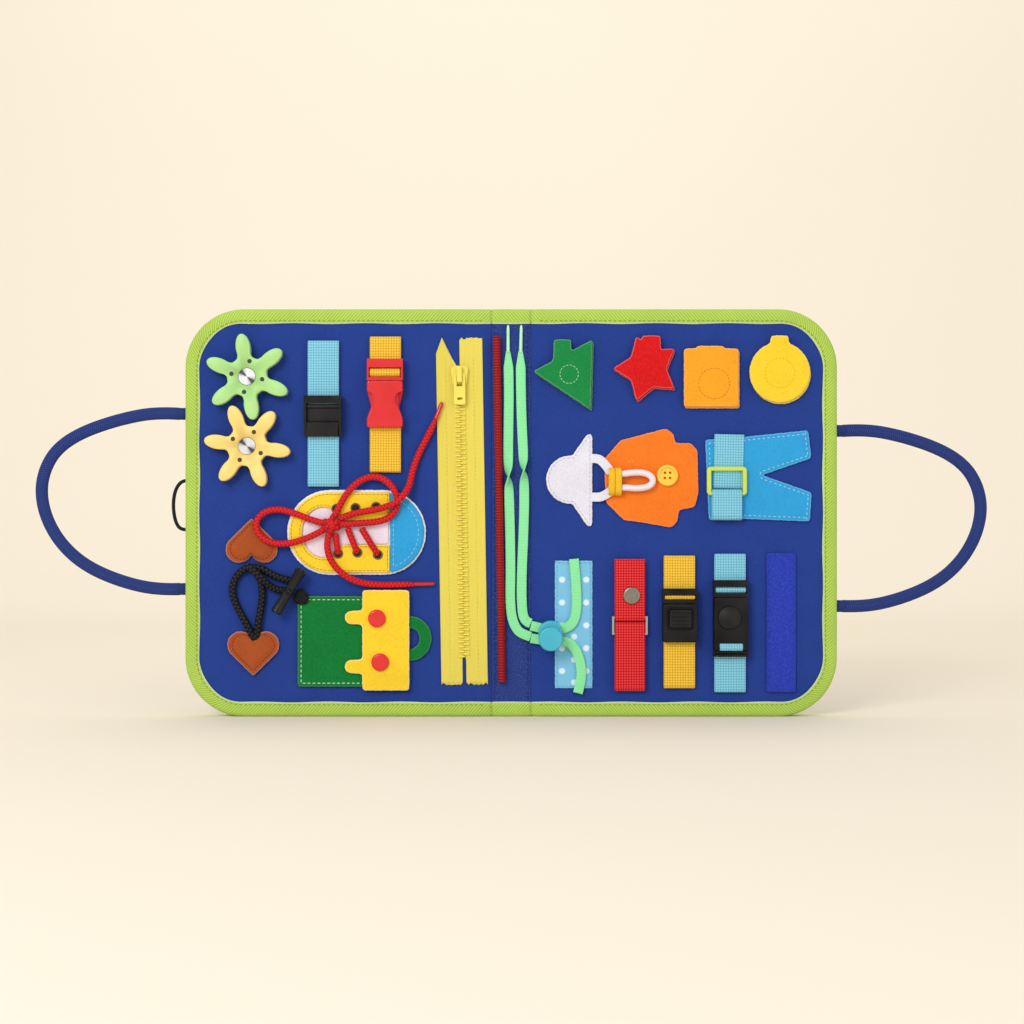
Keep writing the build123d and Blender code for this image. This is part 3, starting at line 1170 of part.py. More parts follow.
# Right webbing: belt, snap strap, and the loops of the two black clips
BELT_SPACE = RING_BAR_D + 2 * CLEAR
BELT_LOOP_TOP = RING_LOW + RING_BAR_D + CLEAR + WEB
with BuildPart() as belt_tail:
    with BuildSketch(at(GARMENT_T)):
        with Locations((BELT_X, BELT_LOOP_TOP + CLEAR)):
            Rectangle(BELT_W, BELT_HIGH - BELT_LOOP_TOP - CLEAR, align=(Align.CENTER, Align.MIN))
    extrude(amount=WEB)
SNAP_RING_BAR = SNAP_RING_LOW + SNAP_WIRE
SNAP_LOOP_TOP = SNAP_RING_BAR + CLEAR + WEB
SNAP_PIN_Z = SNAP_RING_HIGH - SNAP_WIRE / 2
SNAP_EYE_R = SNAP_WIRE / 2 + CLEAR + WEB
with BuildPart() as snap_base:
    with BuildSketch(at(0)):
        with Locations((SNAP_X, SNAP_PIN_Z + SNAP_EYE_R + CLEAR)):
            Rectangle(SNAP_W, SNAP_HIGH - SNAP_PIN_Z - SNAP_EYE_R - CLEAR, align=(Align.CENTER, Align.MIN))
    extrude(amount=WEB)
right_loops = [
    webbing_loop(BELT_X, BELT_W, BELT_LOW, BELT_LOOP_TOP, GARMENT_T, BELT_SPACE),
    belt_tail.part,
    webbing_loop(SNAP_X, SNAP_W, SNAP_LOW, SNAP_LOOP_TOP, 0, SNAP_LOOP_SPACE),
    snap_base.part]
BLACK_CLIPS = ((PRESS_X, PRESS_STRAP_LOW, PRESS_LOW, PRESS_MOUTH, PRESS_STRAP_HIGH),
               (ROUND_X, ROUND_STRAP_LOW, ROUND_LOW, ROUND_MOUTH, ROUND_STRAP_HIGH))
for x, low, foot, mouth, high in BLACK_CLIPS:
    right_loops.append(webbing_loop(x, WEB_W, low, foot + 1 + BAR_H + CLEAR + WEB, 0, WEB_SPACE))
    right_loops.append(webbing_loop(x, WEB_W, mouth + BAR_RISE - CLEAR - WEB, high, 0, WEB_SPACE))
keep(Compound(children=right_loops), "right_webbing")

# Belt ring: turns on its lower bar inside the belt's loop
RING_H = GARMENT_T + WEB + BELT_SPACE / 2
with BuildPart() as belt_ring:
    with BuildSketch(at(RING_H - RING_BAR_D / 2)) as ring_cut:
        with Locations((BELT_X, RING_LOW)):
            Rectangle(RING_W, RING_HIGH - RING_LOW, align=(Align.CENTER, Align.MIN))
        fillet(ring_cut.vertices(), RING_STROKE)
        with Locations((BELT_X, RING_LOW + RING_BAR_D)):
            Rectangle(RING_W - 2 * RING_STROKE, RING_HIGH - RING_LOW - RING_STROKE - RING_BAR_D,
                      align=(Align.CENTER, Align.MIN), mode=Mode.SUBTRACT)
    extrude(amount=RING_BAR_D)
    fillet(belt_ring.edges().filter_by(Axis.X), RING_BAR_D / 2 - 0.25)
keep(belt_ring.part, "belt_ring")

# Metal on the snap strap: ring, and the stud under the flap
with BuildPart() as snap_ring:
    with BuildSketch(side(SNAP_X)):
        with Locations((SNAP_PIN_H, SNAP_RING_LOW + SNAP_WIRE / 2), (SNAP_PIN_H, SNAP_PIN_Z)):
            Circle(SNAP_WIRE / 2)
    extrude(amount=SNAP_RING_W / 2, both=True)
    for sign in (-1, 1):
        with BuildSketch(side(SNAP_X + sign * (SNAP_RING_W - SNAP_SIDE) / 2)):
            with Locations((SNAP_PIN_H, (SNAP_RING_LOW + SNAP_RING_HIGH) / 2)):
                SlotOverall(SNAP_RING_HIGH - SNAP_RING_LOW, SNAP_WIRE, rotation=90)
        extrude(amount=SNAP_SIDE / 2, both=True)
with BuildPart() as snap_stud:
    with BuildSketch(at(WEB)):
        with Locations((SNAP_STUD_X, SNAP_Z)):
            Circle(SNAP_STUD_R)
    extrude(amount=SNAP_PIN_H + SNAP_EYE_R - WEB - CLEAR - WEB)
keep(Compound(children=[snap_ring.part, snap_stud.part]), "snap_ring_and_stud")

# Snap flap: webbing with an eye round the ring's upper bar, and its metal cap
FLAP_FRONT = SNAP_PIN_H + SNAP_EYE_R
with BuildPart() as snap_flap:
    with BuildSketch(side(SNAP_X)):
        with Locations((SNAP_PIN_H, SNAP_PIN_Z)):
            Circle(SNAP_EYE_R)
        with Locations((FLAP_FRONT, SNAP_PIN_Z)):
            Rectangle(WEB, SNAP_HIGH - SNAP_PIN_Z, align=(Align.MAX, Align.MIN))
        with Locations((SNAP_PIN_H, SNAP_PIN_Z)):
            Circle(SNAP_EYE_R - WEB, mode=Mode.SUBTRACT)
    extrude(amount=SNAP_W / 2, both=True)
keep(snap_flap.part, "snap_flap")

with BuildPart() as snap_cap:
    with BuildSketch(at(FLAP_FRONT)):
        with Locations((SNAP_STUD_X, SNAP_Z)):
            Circle(SNAP_CAP_R)
    extrude(amount=SNAP_CAP_T)
    fillet(snap_cap.faces().sort_by(Axis.Y)[0].edges(), 0.9)
    with BuildSketch(at(FLAP_FRONT + SNAP_CAP_T - 0.5)):
        with Locations((SNAP_STUD_X, SNAP_Z)):
            Circle(SNAP_CAP_R - 1.8)
    extrude(amount=SNAP_CAP_T, mode=Mode.SUBTRACT)
keep(snap_cap.part, "snap_cap")

# Black clips: sockets with a sprung release button, and plugs whose tongue slides in from above
TONGUE_LOW = CAVITY_LOW + CLEAR
TONGUE_ROOM = TONGUE_LOW + TONGUE_T + CLEAR
BUTTON_LOW = TONGUE_ROOM + PRESS_TRAVEL


def clip_socket_body(x, width, low, mouth):
    """Box of a black clip's socket, with softened corners and a slot for the tongue."""
    with BuildSketch(at(CLIP_BACK)) as outline:
        with Locations((x, (low + mouth) / 2)):
            RectangleRounded(width, mouth - low, 1.8)
    extrude(outline.sketch, amount=CLIP_FRONT - CLIP_BACK)


def tongue_slot(x, mouth):
    """Slot that the plug's tongue slides in, open at the mouth."""
    with BuildSketch(at(CAVITY_LOW)) as slot:
        with Locations((x, mouth + CLEAR)):
            Rectangle(TONGUE_W + 2 * CLEAR, TONGUE_L + 2 * CLEAR, align=(Align.CENTER, Align.MAX))
    extrude(slot.sketch, amount=TONGUE_ROOM - CAVITY_LOW, mode=Mode.SUBTRACT)


with BuildPart() as press_socket:
    clip_socket_body(PRESS_X, PRESS_W, PRESS_LOW, PRESS_MOUTH)
    fillet(press_socket.faces().sort_by(Axis.Y)[0].edges(), 1.0)
    tongue_slot(PRESS_X, PRESS_MOUTH)
    clip_foot(PRESS_X, PRESS_W, PRESS_LOW)
    with BuildSketch(at(TONGUE_ROOM)):
        with Locations((PRESS_X, PRESS_BUTTON_Z)):
            RectangleRounded(PRESS_BUTTON_W + 2 * CLEAR, PRESS_BUTTON_H + 2 * CLEAR, 1.5)
    extrude(amount=CLIP_FRONT, mode=Mode.SUBTRACT)
    with BuildSketch(at(CLIP_FRONT - BUTTON_SINK)):
        with Locations((PRESS_X, PRESS_BUTTON_Z)):
            RectangleRounded(PRESS_BUTTON_W + 3, PRESS_BUTTON_H + 3, 2)
    extrude(amount=CLIP_FRONT, mode=Mode.SUBTRACT)
keep(press_socket.part, "press_socket")

with BuildPart() as press_button:
    with BuildSketch(at(BUTTON_LOW)):
        with Locations((PRESS_X, PRESS_BUTTON_Z)):
            RectangleRounded(PRESS_BUTTON_W, PRESS_BUTTON_H, 1.2)
    extrude(amount=CLIP_FRONT + BUTTON_PROUD - BUTTON_LOW)
    fillet(press_button.faces().sort_by(Axis.Y)[0].edges(), 0.7)
    with BuildSketch(at(CLIP_FRONT + BUTTON_PROUD)):
        with Locations((PRESS_X, PRESS_BUTTON_Z)):
            with GridLocations(0, 2.4, 1, 4):
                Rectangle(PRESS_BUTTON_W - 3, 0.8)
    extrude(amount=-0.5, mode=Mode.SUBTRACT)
keep(press_button.part, "press_button")

with BuildPart() as round_socket:
    clip_socket_body(ROUND_X, ROUND_W, ROUND_LOW, ROUND_MOUTH)
    fillet(round_socket.faces().sort_by(Axis.Y)[0].edges(), 1.0)
    tongue_slot(ROUND_X, ROUND_MOUTH)
    clip_foot(ROUND_X, ROUND_W, ROUND_LOW)
    with BuildSketch(at(TONGUE_ROOM)):
        with Locations((ROUND_BUTTON_X, ROUND_BUTTON_Z)):
            Circle(ROUND_BUTTON_R + CLEAR)
    extrude(amount=CLIP_FRONT, mode=Mode.SUBTRACT)
    with BuildSketch(at(CLIP_FRONT - BUTTON_SINK)):
        with Locations((ROUND_X, ROUND_LOW)):
            Rectangle(WEB_W - 5, 1.6 * FOOT_H, mode=Mode.ADD)
    extrude(amount=CLIP_FRONT, mode=Mode.SUBTRACT)
keep(round_socket.part, "round_socket")

with BuildPart() as round_button:
    button_axis = spot(ROUND_BUTTON_X, ROUND_BUTTON_Z, 0)
    with BuildSketch(Plane(origin=button_axis, x_dir=(1, 0, 0), z_dir=(0, 0, -1))):
        with BuildLine():
            rim, crown = CLIP_FRONT + BUTTON_PROUD / 2, CLIP_FRONT + BUTTON_PROUD / 2 + DOME_RISE
            dome_r = (ROUND_BUTTON_R ** 2 + DOME_RISE ** 2) / (2 * DOME_RISE)
            shoulder = crown - dome_r + sqrt(dome_r ** 2 - ROUND_BUTTON_R ** 2 / 4)
            Polyline((0, crown), (0, BUTTON_LOW), (ROUND_BUTTON_R, BUTTON_LOW), (ROUND_BUTTON_R, rim))
            ThreePointArc((ROUND_BUTTON_R, rim), (ROUND_BUTTON_R / 2, shoulder), (0, crown))
        make_face()
    revolve(axis=Axis(button_axis, (0, -1, 0)))
keep(round_button.part, "round_button")

for name, x, width, mouth, top in (("press_plug", PRESS_X, PRESS_W, PRESS_MOUTH, PRESS_TOP),
                                   ("round_plug", ROUND_X, ROUND_W, ROUND_MOUTH, ROUND_TOP)):
    with BuildPart() as plug:
        clip_bars(x, width, mouth, top, BLACK_BAR_H)
        with BuildSketch(at(TONGUE_LOW)):
            with Locations((x, mouth + CLEAR)):
                Rectangle(TONGUE_W, TONGUE_L, align=(Align.CENTER, Align.MAX))
        extrude(amount=TONGUE_T)
    keep(plug.part, name)
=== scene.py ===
"""Felt busy board: its cloth, tape, laces and finishes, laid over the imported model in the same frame.

Metres in the scene: X right, Y away from the viewer, Z up, origin under the spine. Outlines and routes
below are millimetres on the front felt: (x, z), or (x, z, height out of the felt).
"""

import bpy
import numpy as np
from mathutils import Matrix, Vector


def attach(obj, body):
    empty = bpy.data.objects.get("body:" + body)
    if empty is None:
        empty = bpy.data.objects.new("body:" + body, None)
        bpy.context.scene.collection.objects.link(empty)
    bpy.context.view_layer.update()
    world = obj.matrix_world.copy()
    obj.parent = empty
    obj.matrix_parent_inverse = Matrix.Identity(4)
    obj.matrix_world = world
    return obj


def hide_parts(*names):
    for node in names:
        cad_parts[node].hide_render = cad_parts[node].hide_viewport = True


bl_info = {
    "name": "Felt Busy Board",
    "version": (1, 0, 0),
    "blender": (4, 5, 0),
    "location": "View3D > Sidebar > Busy Board",
    "description": "Builds the cloth, tape and finishes of a folding felt activity board over its CAD model",
    "category": "Object",
}

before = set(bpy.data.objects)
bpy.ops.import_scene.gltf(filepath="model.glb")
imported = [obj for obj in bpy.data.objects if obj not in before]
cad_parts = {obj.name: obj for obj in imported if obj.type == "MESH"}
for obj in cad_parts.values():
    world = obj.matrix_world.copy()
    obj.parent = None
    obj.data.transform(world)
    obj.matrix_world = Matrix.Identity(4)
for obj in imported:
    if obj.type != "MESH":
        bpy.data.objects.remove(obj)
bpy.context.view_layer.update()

MM = 0.001
FRONT = -5.5
HALF_W = 200.0
HIGH = 250.0
CORNER = 36.0
FOLD = 12.0
WEB = 1.1
LACE_H = 6.3
AXIS_X = np.array([1.0, 0.0, 0.0])
AXIS_Y = np.array([0.0, 1.0, 0.0])
AXIS_Z = np.array([0.0, 0.0, 1.0])
OUT = np.array([0.0, -1.0, 0.0])

HANDLE_ARCH = [(0, 54), (14, 55), (36, 51), (60, 43), (75.5, 33), (83.5, 20), (86, 5), (82, -12), (72, -28),
               (57, -40.5), (36, -49.5), (14, -54.5), (0, -54)]
CLOSURE_LOOP = [(0, 144.8), (3.2, 144.8), (7, 139.5), (8.4, 132), (8, 124), (6.2, 117.5), (3.2, 114.6),
                (0, 114.6)]
LEFT_BOW = [(-114.2, 118.6, LACE_H), (-122, 120.6, LACE_H), (-131, 124.4, LACE_H), (-141, 127.4, 4.6),
            (-150.5, 126.2, 4.4), (-156.3, 120, 4.6), (-155, 112, 4.8), (-147.5, 106.6, 4.9),
            (-137.5, 105.8, 5.4), (-128, 108.2, LACE_H), (-119.6, 111.6, LACE_H), (-113.6, 115.2, LACE_H)]
UPPER_BOW = [(-108.2, 122.6, LACE_H), (-105, 128.5, LACE_H), (-101, 136, LACE_H), (-94.5, 143.6, 5.4),
             (-85.5, 147.8, 4.2), (-76.5, 145.4, 5.0), (-70.4, 138.2, LACE_H), (-68.8, 130, LACE_H),
             (-72.8, 122.6, LACE_H), (-81, 119.3, LACE_H), (-91, 118.9, LACE_H), (-98, 118.2, LACE_H),
             (-104.6, 117.9, LACE_H)]
UPPER_END = [(-104.8, 121.4, LACE_H), (-98, 124.2, LACE_H), (-90, 125.8, LACE_H), (-81, 127.2, 7.4),
             (-73, 129.6, 10.7), (-66.4, 134, 10.2), (-62, 141.5, 6.2), (-60.4, 151, 3.4), (-56.4, 162, 2.3),
             (-50.6, 172.6, 2.5), (-46.4, 182, 3.3)]
UPPER_TIP = (-42.2, 192.8, 2.6)
LOWER_END = [(-110.8, 113.2, LACE_H), (-112.6, 107, LACE_H), (-111.6, 99, LACE_H), (-107.3, 91.6, LACE_H),
             (-100, 85.4, LACE_H), (-91, 81.8, 3.4), (-80, 80.8, 2.3), (-69, 81, 2.3), (-59, 81.3, 2.3)]
LOWER_TIP = (-47, 81.5, 2.3)
LACE_KNOT = (-109.4, 117.8, 6.6)
STRANDS = [((-107.2, 112.2), (-105.8, 100.0)), ((-99.8, 115.4), (-94.0, 100.7)),
           ((-91.4, 115.4), (-81.5, 99.4))]
EYELETS = [(-106.9, 127.4), (-95.2, 128.0), (-82.6, 128.7), (-105.8, 100.0), (-94.0, 100.7), (-81.5, 99.4)]
OUTER_CORD = [(-157.8, 47.5, 0.8), (-160.6, 54.5, 3.4), (-165.4, 63, 2.5), (-169.8, 71.5, 2.5),
              (-171, 80, 2.5), (-167.8, 87, 2.5), (-162.3, 91.5, 2.5), (-153.2, 91.5, 2.5),
              (-147.4, 87.6, 2.5), (-141.2, 85, 2.5), (-134.6, 83.4, 2.5)]
INNER_CORD = [(-156.0, 47.5, 0.8), (-155.2, 55, 3.4), (-153.4, 65, 2.5), (-152.2, 74, 2.5), (-152.8, 82, 2.5),
              (-155.4, 88.4, 2.5), (-160, 92.2, 3.0)]
CROSS_CORD = [(-161, 92.8, 6.0), (-156.2, 89.2, 7.2), (-150.6, 83.2, 6.0), (-146.4, 79.4, 3.4),
              (-141.2, 77.2, 2.5), (-134.6, 77.4, 2.5)]
TOGGLE_KNOT = (-128.4, 73.4, 3.9)
MINT_LEFT = [(-1.9, 224, 1.4), (-1.3, 203, 1.4), (-1.6, 180, 1.4), (-1.9, 156, 1.4), (-1.2, 132, 1.4),
             (-0.6, 108, 1.4), (-0.4, 88, 1.4), (-0.7, 73, 1.4), (0, 62, 1.4), (2.6, 54.4, 1.4),
             (6.8, 50.4, 1.6), (14, 48.6, 2.4)]
MINT_RIGHT = [(5.8, 224, 1.4), (5.9, 203, 1.4), (6.5, 180, 1.4), (7.6, 157, 1.4), (8.1, 134, 1.4),
              (7.5, 112, 1.4), (6.6, 92, 1.4), (6.3, 77, 1.4), (6.6, 67, 1.4), (7.4, 61, 1.4),
              (10, 57.6, 1.6), (14.6, 56.4, 2.4)]
UPPER_TAIL = [(11, 56.2, 2.0), (18.5, 54.2, 2.5), (24.5, 53.6, 2.5), (31, 53.8, 2.5), (36.4, 55.8, 2.5),
              (39.4, 61.2, 2.5), (40.2, 69.5, 2.5), (39.9, 78.5, 2.5), (39.2, 87.8, 2.5), (38.4, 96.8, 2.5)]
LOWER_TAIL = [(11, 48.4, 2.0), (18.5, 47.2, 2.5), (24.5, 46.8, 2.5), (31, 46.8, 2.5), (36.4, 45.2, 2.5),
              (40.4, 40, 2.5), (42.8, 32, 2.5), (43.2, 23.2, 2.5), (40.8, 14.6, 2.5)]
BUTTON_LOOP = [(60.2, 148.2, 5.7), (67.5, 148.5, 5.7), (75, 149.8, 5.7), (81.8, 149.4, 5.7), (86, 147, 5.7),
               (86.7, 143.6, 5.7), (83.8, 140.8, 5.7), (77, 139.8, 5.7), (68.5, 140.6, 5.7),
               (60.2, 140.4, 5.7)]
TRIANGLE = [(13.4, 211.5), (48.6, 188.0), (49.7, 231.0)]
COAT = [(57, 157.8), (58, 131.6), (69, 120.5), (79.5, 119.2), (98.2, 115.9), (102, 120), (102.8, 126.6),
        (112.5, 128.6), (114.8, 137), (114.2, 163), (110.4, 167.6), (100.6, 167.8), (99.6, 173.2),
        (94.9, 176.7), (67, 169.4)]
TROUSERS = [(118.9, 169.8), (121.2, 120.5), (139.7, 121.4), (183, 119.7), (184.2, 137.4), (153.8, 148.1),
            (184, 158.5), (182, 175.6), (143, 171.6)]


def srgb(red, green, blue):
    """Display bytes as linear colour."""
    c = np.array([red, green, blue]) / 255
    return tuple(float(v) for v in np.where(c <= 0.04045, c / 12.92, ((c + 0.055) / 1.055) ** 2.4))


def tint(colour, factor):
    """Colour made darker or lighter by a factor, with alpha."""
    return (*(min(1.0, float(v) * factor) for v in colour), 1.0)


def pale(colour, share):
    """Colour moved towards white by a share, with alpha."""
    return (*(float(v) * (1 - share) + share for v in colour), 1.0)


def colour_setting(label, what, *rgb):
    return bpy.props.FloatVectorProperty(name=label, description=what, subtype="COLOR", size=3, min=0.0,
                                         max=1.0, default=srgb(*rgb))


def length_setting(label, what, mm):
    return bpy.props.FloatProperty(name=label, description=what, default=mm * MM, min=0.0001, unit="LENGTH",
                                   subtype="DISTANCE")


class BoardColours(bpy.types.PropertyGroup):
    """Colours of the cloth, cords and fittings"""
    navy: colour_setting("Navy felt", "Felt covers of the board", 38, 64, 146)
    tape: colour_setting("Binding", "Twill tape round the edge", 178, 212, 78)
    handle: colour_setting("Handles", "Carry handles", 34, 54, 122)
    gear_green: colour_setting("Green gear", "Upper finger gear", 172, 222, 138)
    gear_yellow: colour_setting("Yellow gear", "Lower finger gear", 250, 216, 124)
    web_blue: colour_setting("Blue webbing", "Light blue straps", 127, 203, 230)
    web_yellow: colour_setting("Yellow webbing", "Yellow straps", 245, 194, 46)
    web_red: colour_setting("Red webbing", "Snap strap", 222, 16, 26)
    buckle_red: colour_setting("Red buckle", "Side-release buckle", 220, 26, 30)
    zipper: colour_setting("Zipper", "Zipper tape, teeth and slider", 244, 226, 92)
    lace_red: colour_setting("Red cord", "Shoe lace and spine strip", 204, 12, 22)
    lace_mint: colour_setting("Mint lace", "Flat laces of the spine", 143, 240, 168)
    green: colour_setting("Green felt", "Triangle game", 26, 138, 69)
    red: colour_setting("Red felt", "Star game", 216, 24, 26)
    orange: colour_setting("Orange felt", "Square game", 249, 168, 40)
    coat: colour_setting("Coat felt", "Coat", 250, 126, 38)
    yellow: colour_setting("Yellow felt", "Shoe upper, bag flap, circle game and keeper", 251, 212, 51)
    white: colour_setting("White felt", "Hat, bands and shoe rim", 232, 230, 245)
    tongue: colour_setting("Tongue felt", "Tongue of the shoe", 243, 227, 243)
    sky: colour_setting("Blue felt", "Trousers and toe cap", 50, 163, 224)
    brown: colour_setting("Brown felt", "Hearts", 170, 80, 36)
    bag: colour_setting("Bag felt", "Bag pocket", 14, 122, 53)
    ribbon: colour_setting("Ribbon", "Dotted ribbon", 116, 195, 234)
    hook: colour_setting("Hook strip", "Hook-and-loop strip", 46, 66, 190)
    ring: colour_setting("Belt ring", "Ring on the belt", 203, 221, 85)
    lock: colour_setting("Cord lock", "Spring lock on the laces", 63, 182, 207)
    button: colour_setting("Button", "Four-hole button", 246, 206, 66)
    snap: colour_setting("Bag snaps", "Snap caps of the bag", 224, 20, 24)
    black: colour_setting("Black", "Black clips, toggle and cords", 14, 13, 14)
    nickel: colour_setting("Dark nickel", "Snap cap of the red strap", 150, 140, 130)
    backdrop: colour_setting("Backdrop", "Floor and wall of the stage", 248, 238, 220)


class BoardSizes(bpy.types.PropertyGroup):
    """Sizes of the sewing and weaving"""
    stitch_pitch: length_setting("Stitch pitch", "Distance from one stitch to the next", 3.0)
    stitch_length: length_setting("Stitch length", "Thread that shows in one stitch", 1.9)
    thread: length_setting("Thread", "Thickness of the sewing thread", 0.5)
    weave: length_setting("Weave", "Pitch of the webbing's weave", 1.6)
    twill: length_setting("Twill", "Pitch of the binding's diagonal ribs", 2.0)
    tooth_pitch: length_setting("Tooth pitch", "Pitch of the zipper's teeth on one tape", 3.0)
    lens: bpy.props.FloatProperty(name="Lens", description="Focal length of the camera", default=63.0,
                                  min=10.0, unit="CAMERA")


class Recipe:
    """Adds nodes to one material: a socket is linked to an input, and anything else is set as its value."""

    def __init__(self, name):
        self.material = bpy.data.materials.new(name)
        self.material.use_nodes = True
        self.tree = self.material.node_tree
        self.shader = self.tree.nodes["Principled BSDF"]

    def put(self, node, inputs):
        for key, value in inputs.items():
            if isinstance(value, bpy.types.NodeSocket):
                self.tree.links.new(value, node.inputs[key])
            else:
                node.inputs[key].default_value = value
        return node

    def node(self, kind, inputs, **settings):
        made = self.tree.nodes.new("ShaderNode" + kind)
        for key, value in settings.items():
            setattr(made, key, value)
        return self.put(made, inputs)

    def math(self, operation, a, b=0.0):
        return self.node("Math", {0: a, 1: b}, operation=operation).outputs[0]

    def wave(self, value, pitch):
        """Ribs one pitch apart: the size of the sine of pi times value over pitch."""
        turn = self.math("MULTIPLY", value, float(np.pi / pitch))
        return self.math("ABSOLUTE", self.math("SINE", turn))

    def place(self, stretch=(1.0, 1.0, 1.0)):
        where = self.node("TexCoord", {}).outputs["Object"]
        return self.node("Mapping", {"Vector": where, "Scale": stretch}).outputs[0]

    def cloth(self):
        """The piece's own millimetres: along it and across it."""
        split = self.node("SeparateXYZ", {0: self.node("UVMap", {}, uv_map="mm").outputs[0]})
        return split.outputs[0], split.outputs[1]

    def noise(self, scale, detail=3.0, rough=0.6, stretch=(1.0, 1.0, 1.0)):
        return self.node("TexNoise", {"Vector": self.place(stretch), "Scale": scale, "Detail": detail,
                                      "Roughness": rough}).outputs[0]

    def ramp(self, value, *stops):
        node = self.node("ValToRGB", {"Fac": value})
        ramp = node.color_ramp
        for place, colour in stops[2:]:
            ramp.elements.new(place)
        for element, (place, colour) in zip(ramp.elements, sorted(stops)):
            element.position = place
            element.color = colour
        return node.outputs[0]

    def mix(self, share, a, b, blend="MIX"):
        return self.node("Mix", {0: share, 6: a, 7: b}, data_type="RGBA", blend_type=blend).outputs[2]

    def bump(self, height, strength, mm):
        return self.node("Bump", {"Height": height, "Strength": strength, "Distance": mm * MM}).outputs[0]

    def finish(self, colour, rough, normal, **more):
        named = {key.replace("_", " "): value for key, value in more.items()}
        self.put(self.shader, {"Base Color": colour, "Roughness": rough, "Normal": normal, **named})
        return self.material


def grey(level):
    return (level, level, level, 1.0)


def felt(name, colour, fleck=0.02, rim=0.0):
    """Pressed wool: fine fibres in colour and relief, with broad soft mottling. On a cut of felt, whose rings
    are counted from its lower face, rim paints a highlight on the rounded upper edge, making it paler."""
    r = Recipe(name)
    fibre = r.noise(2600.0, 4.0, 0.7)
    cross = r.noise(1300.0, 3.0, 0.65)
    both = r.math("ADD", r.math("MULTIPLY", fibre, 0.55), r.math("MULTIPLY", cross, 0.45))
    wool = r.ramp(both, (0.36, tint(colour, 0.82)), (0.50, tint(colour, 1.0)), (0.64, pale(colour, fleck)))
    broad = r.ramp(r.noise(55.0, 2.0, 0.5), (0.32, grey(0.93)), (0.66, grey(1.0)))
    base = r.mix(1.0, wool, broad, "MULTIPLY")
    # Painted highlight: the rim share makes the rounded upper edge of the cut paler.
    if rim:
        ring = r.math("DIVIDE", r.cloth()[0], 4.0)
        edge = r.ramp(ring, (0.50, grey(0.0)), (0.80, grey(1.0)), (0.98, grey(0.0)))
        base = r.mix(edge, base, pale(colour, rim))
    return r.finish(base, 0.95, r.bump(both, 0.45, 0.6), Sheen_Weight=0.05, Sheen_Roughness=0.5,
                    Specular_IOR_Level=0.08)


def webbing(name, colour, pitch, gap=0.55):
    """Plain woven strap: rows and columns of small square knots, the root of a product of ribs, with dark
    gaps."""
    r = Recipe(name)
    along, across = r.cloth()
    knot = r.math("POWER", r.math("MULTIPLY", r.wave(across, pitch), r.wave(along, pitch)), 0.5)
    yarn = r.noise(2600.0, 2.0, 0.6)
    height = r.math("ADD", knot, r.math("MULTIPLY", yarn, 0.2))
    base = r.ramp(height, (0.25, tint(colour, gap)), (0.60, tint(colour, 0.96)), (1.0, pale(colour, 0.06)))
    return r.finish(base, 0.78, r.bump(height, 0.6, 0.45), Sheen_Weight=0.015, Specular_IOR_Level=0.12)


def twill(name, colour, pitch):
    """Binding tape: fine diagonal ribs crossed by thin yarn, and a painted highlight that makes the front
    face paler along its inner edge.
    """
    r = Recipe(name)
    along, across = r.cloth()
    rib = r.wave(r.math("ADD", along, r.math("MULTIPLY", across, 0.9)), pitch)
    yarn = r.wave(r.math("SUBTRACT", along, across), pitch * 0.5)
    height = r.math("ADD", r.math("MULTIPLY", rib, 0.75), r.math("MULTIPLY", yarn, 0.25))
    base = r.ramp(height, (0.12, tint(colour, 0.62)), (0.55, tint(colour, 0.98)), (1.0, pale(colour, 0.10)))
    # Painted highlight: the first millimetres of the profile, the front inner edge where the tape rounds
    # over, are made paler.
    edge = r.ramp(r.math("DIVIDE", across, 10.0), (0.11, grey(1.0)), (0.18, grey(0.0)))
    with_edge_highlight = r.mix(edge, base, pale(colour, 0.40))
    broad = r.ramp(r.noise(40.0, 2.0, 0.5), (0.3, grey(0.92)), (0.7, grey(1.0)))
    return r.finish(r.mix(1.0, with_edge_highlight, broad, "MULTIPLY"), 0.82, r.bump(height, 0.6, 0.5), Sheen_Weight=0.04,
                    Specular_IOR_Level=0.12)


def braid(name, colour, pitch, strands=4.0, gloss=0.55):
    """Braided cord: two sets of strands wound opposite ways, raised where they cross."""
    r = Recipe(name)
    along, turn = r.cloth()
    step = r.math("DIVIDE", along, pitch)
    wound = r.math("MULTIPLY", turn, strands)
    knot = r.math("MULTIPLY", r.wave(r.math("ADD", step, wound), 1.0),
                  r.wave(r.math("SUBTRACT", step, wound), 1.0))
    height = r.math("ADD", knot, r.math("MULTIPLY", r.noise(2500.0, 2.0), 0.2))
    base = r.ramp(height, (0.08, tint(colour, 0.74)), (0.45, tint(colour, 1.0)), (1.0, pale(colour, 0.03)))
    return r.finish(base, gloss, r.bump(height, 0.45, 0.4), Sheen_Weight=0.008, Specular_IOR_Level=0.14)


def plastic(name, colour, gloss=0.35, grain=0.05, coat=0.0, shine=0.38):
    """Moulded plastic: faint flow marks in colour and gloss, and a fine grain."""
    r = Recipe(name)
    flow = r.noise(60.0, 2.0, 0.5)
    fine = r.noise(2400.0, 2.0, 0.5)
    base = r.ramp(flow, (0.3, tint(colour, 0.92)), (0.7, pale(colour, 0.01)))
    rough = r.math("ADD", gloss - 0.06, r.math("MULTIPLY", fine, 0.12))
    return r.finish(base, rough, r.bump(fine, grain, 0.3), Specular_IOR_Level=shine, Coat_Weight=coat,
                    Coat_Roughness=0.15)


def paint(name, colour):
    """Matt backdrop: one pale tone with a very faint cloud."""
    r = Recipe(name)
    cloud = r.noise(2.0, 1.0, 0.4)
    base = r.ramp(cloud, (0.3, tint(colour, 0.985)), (0.7, tint(colour, 1.0)))
    return r.finish(base, 0.9, r.bump(r.noise(500.0), 0.03, 0.2), Specular_IOR_Level=0.1)


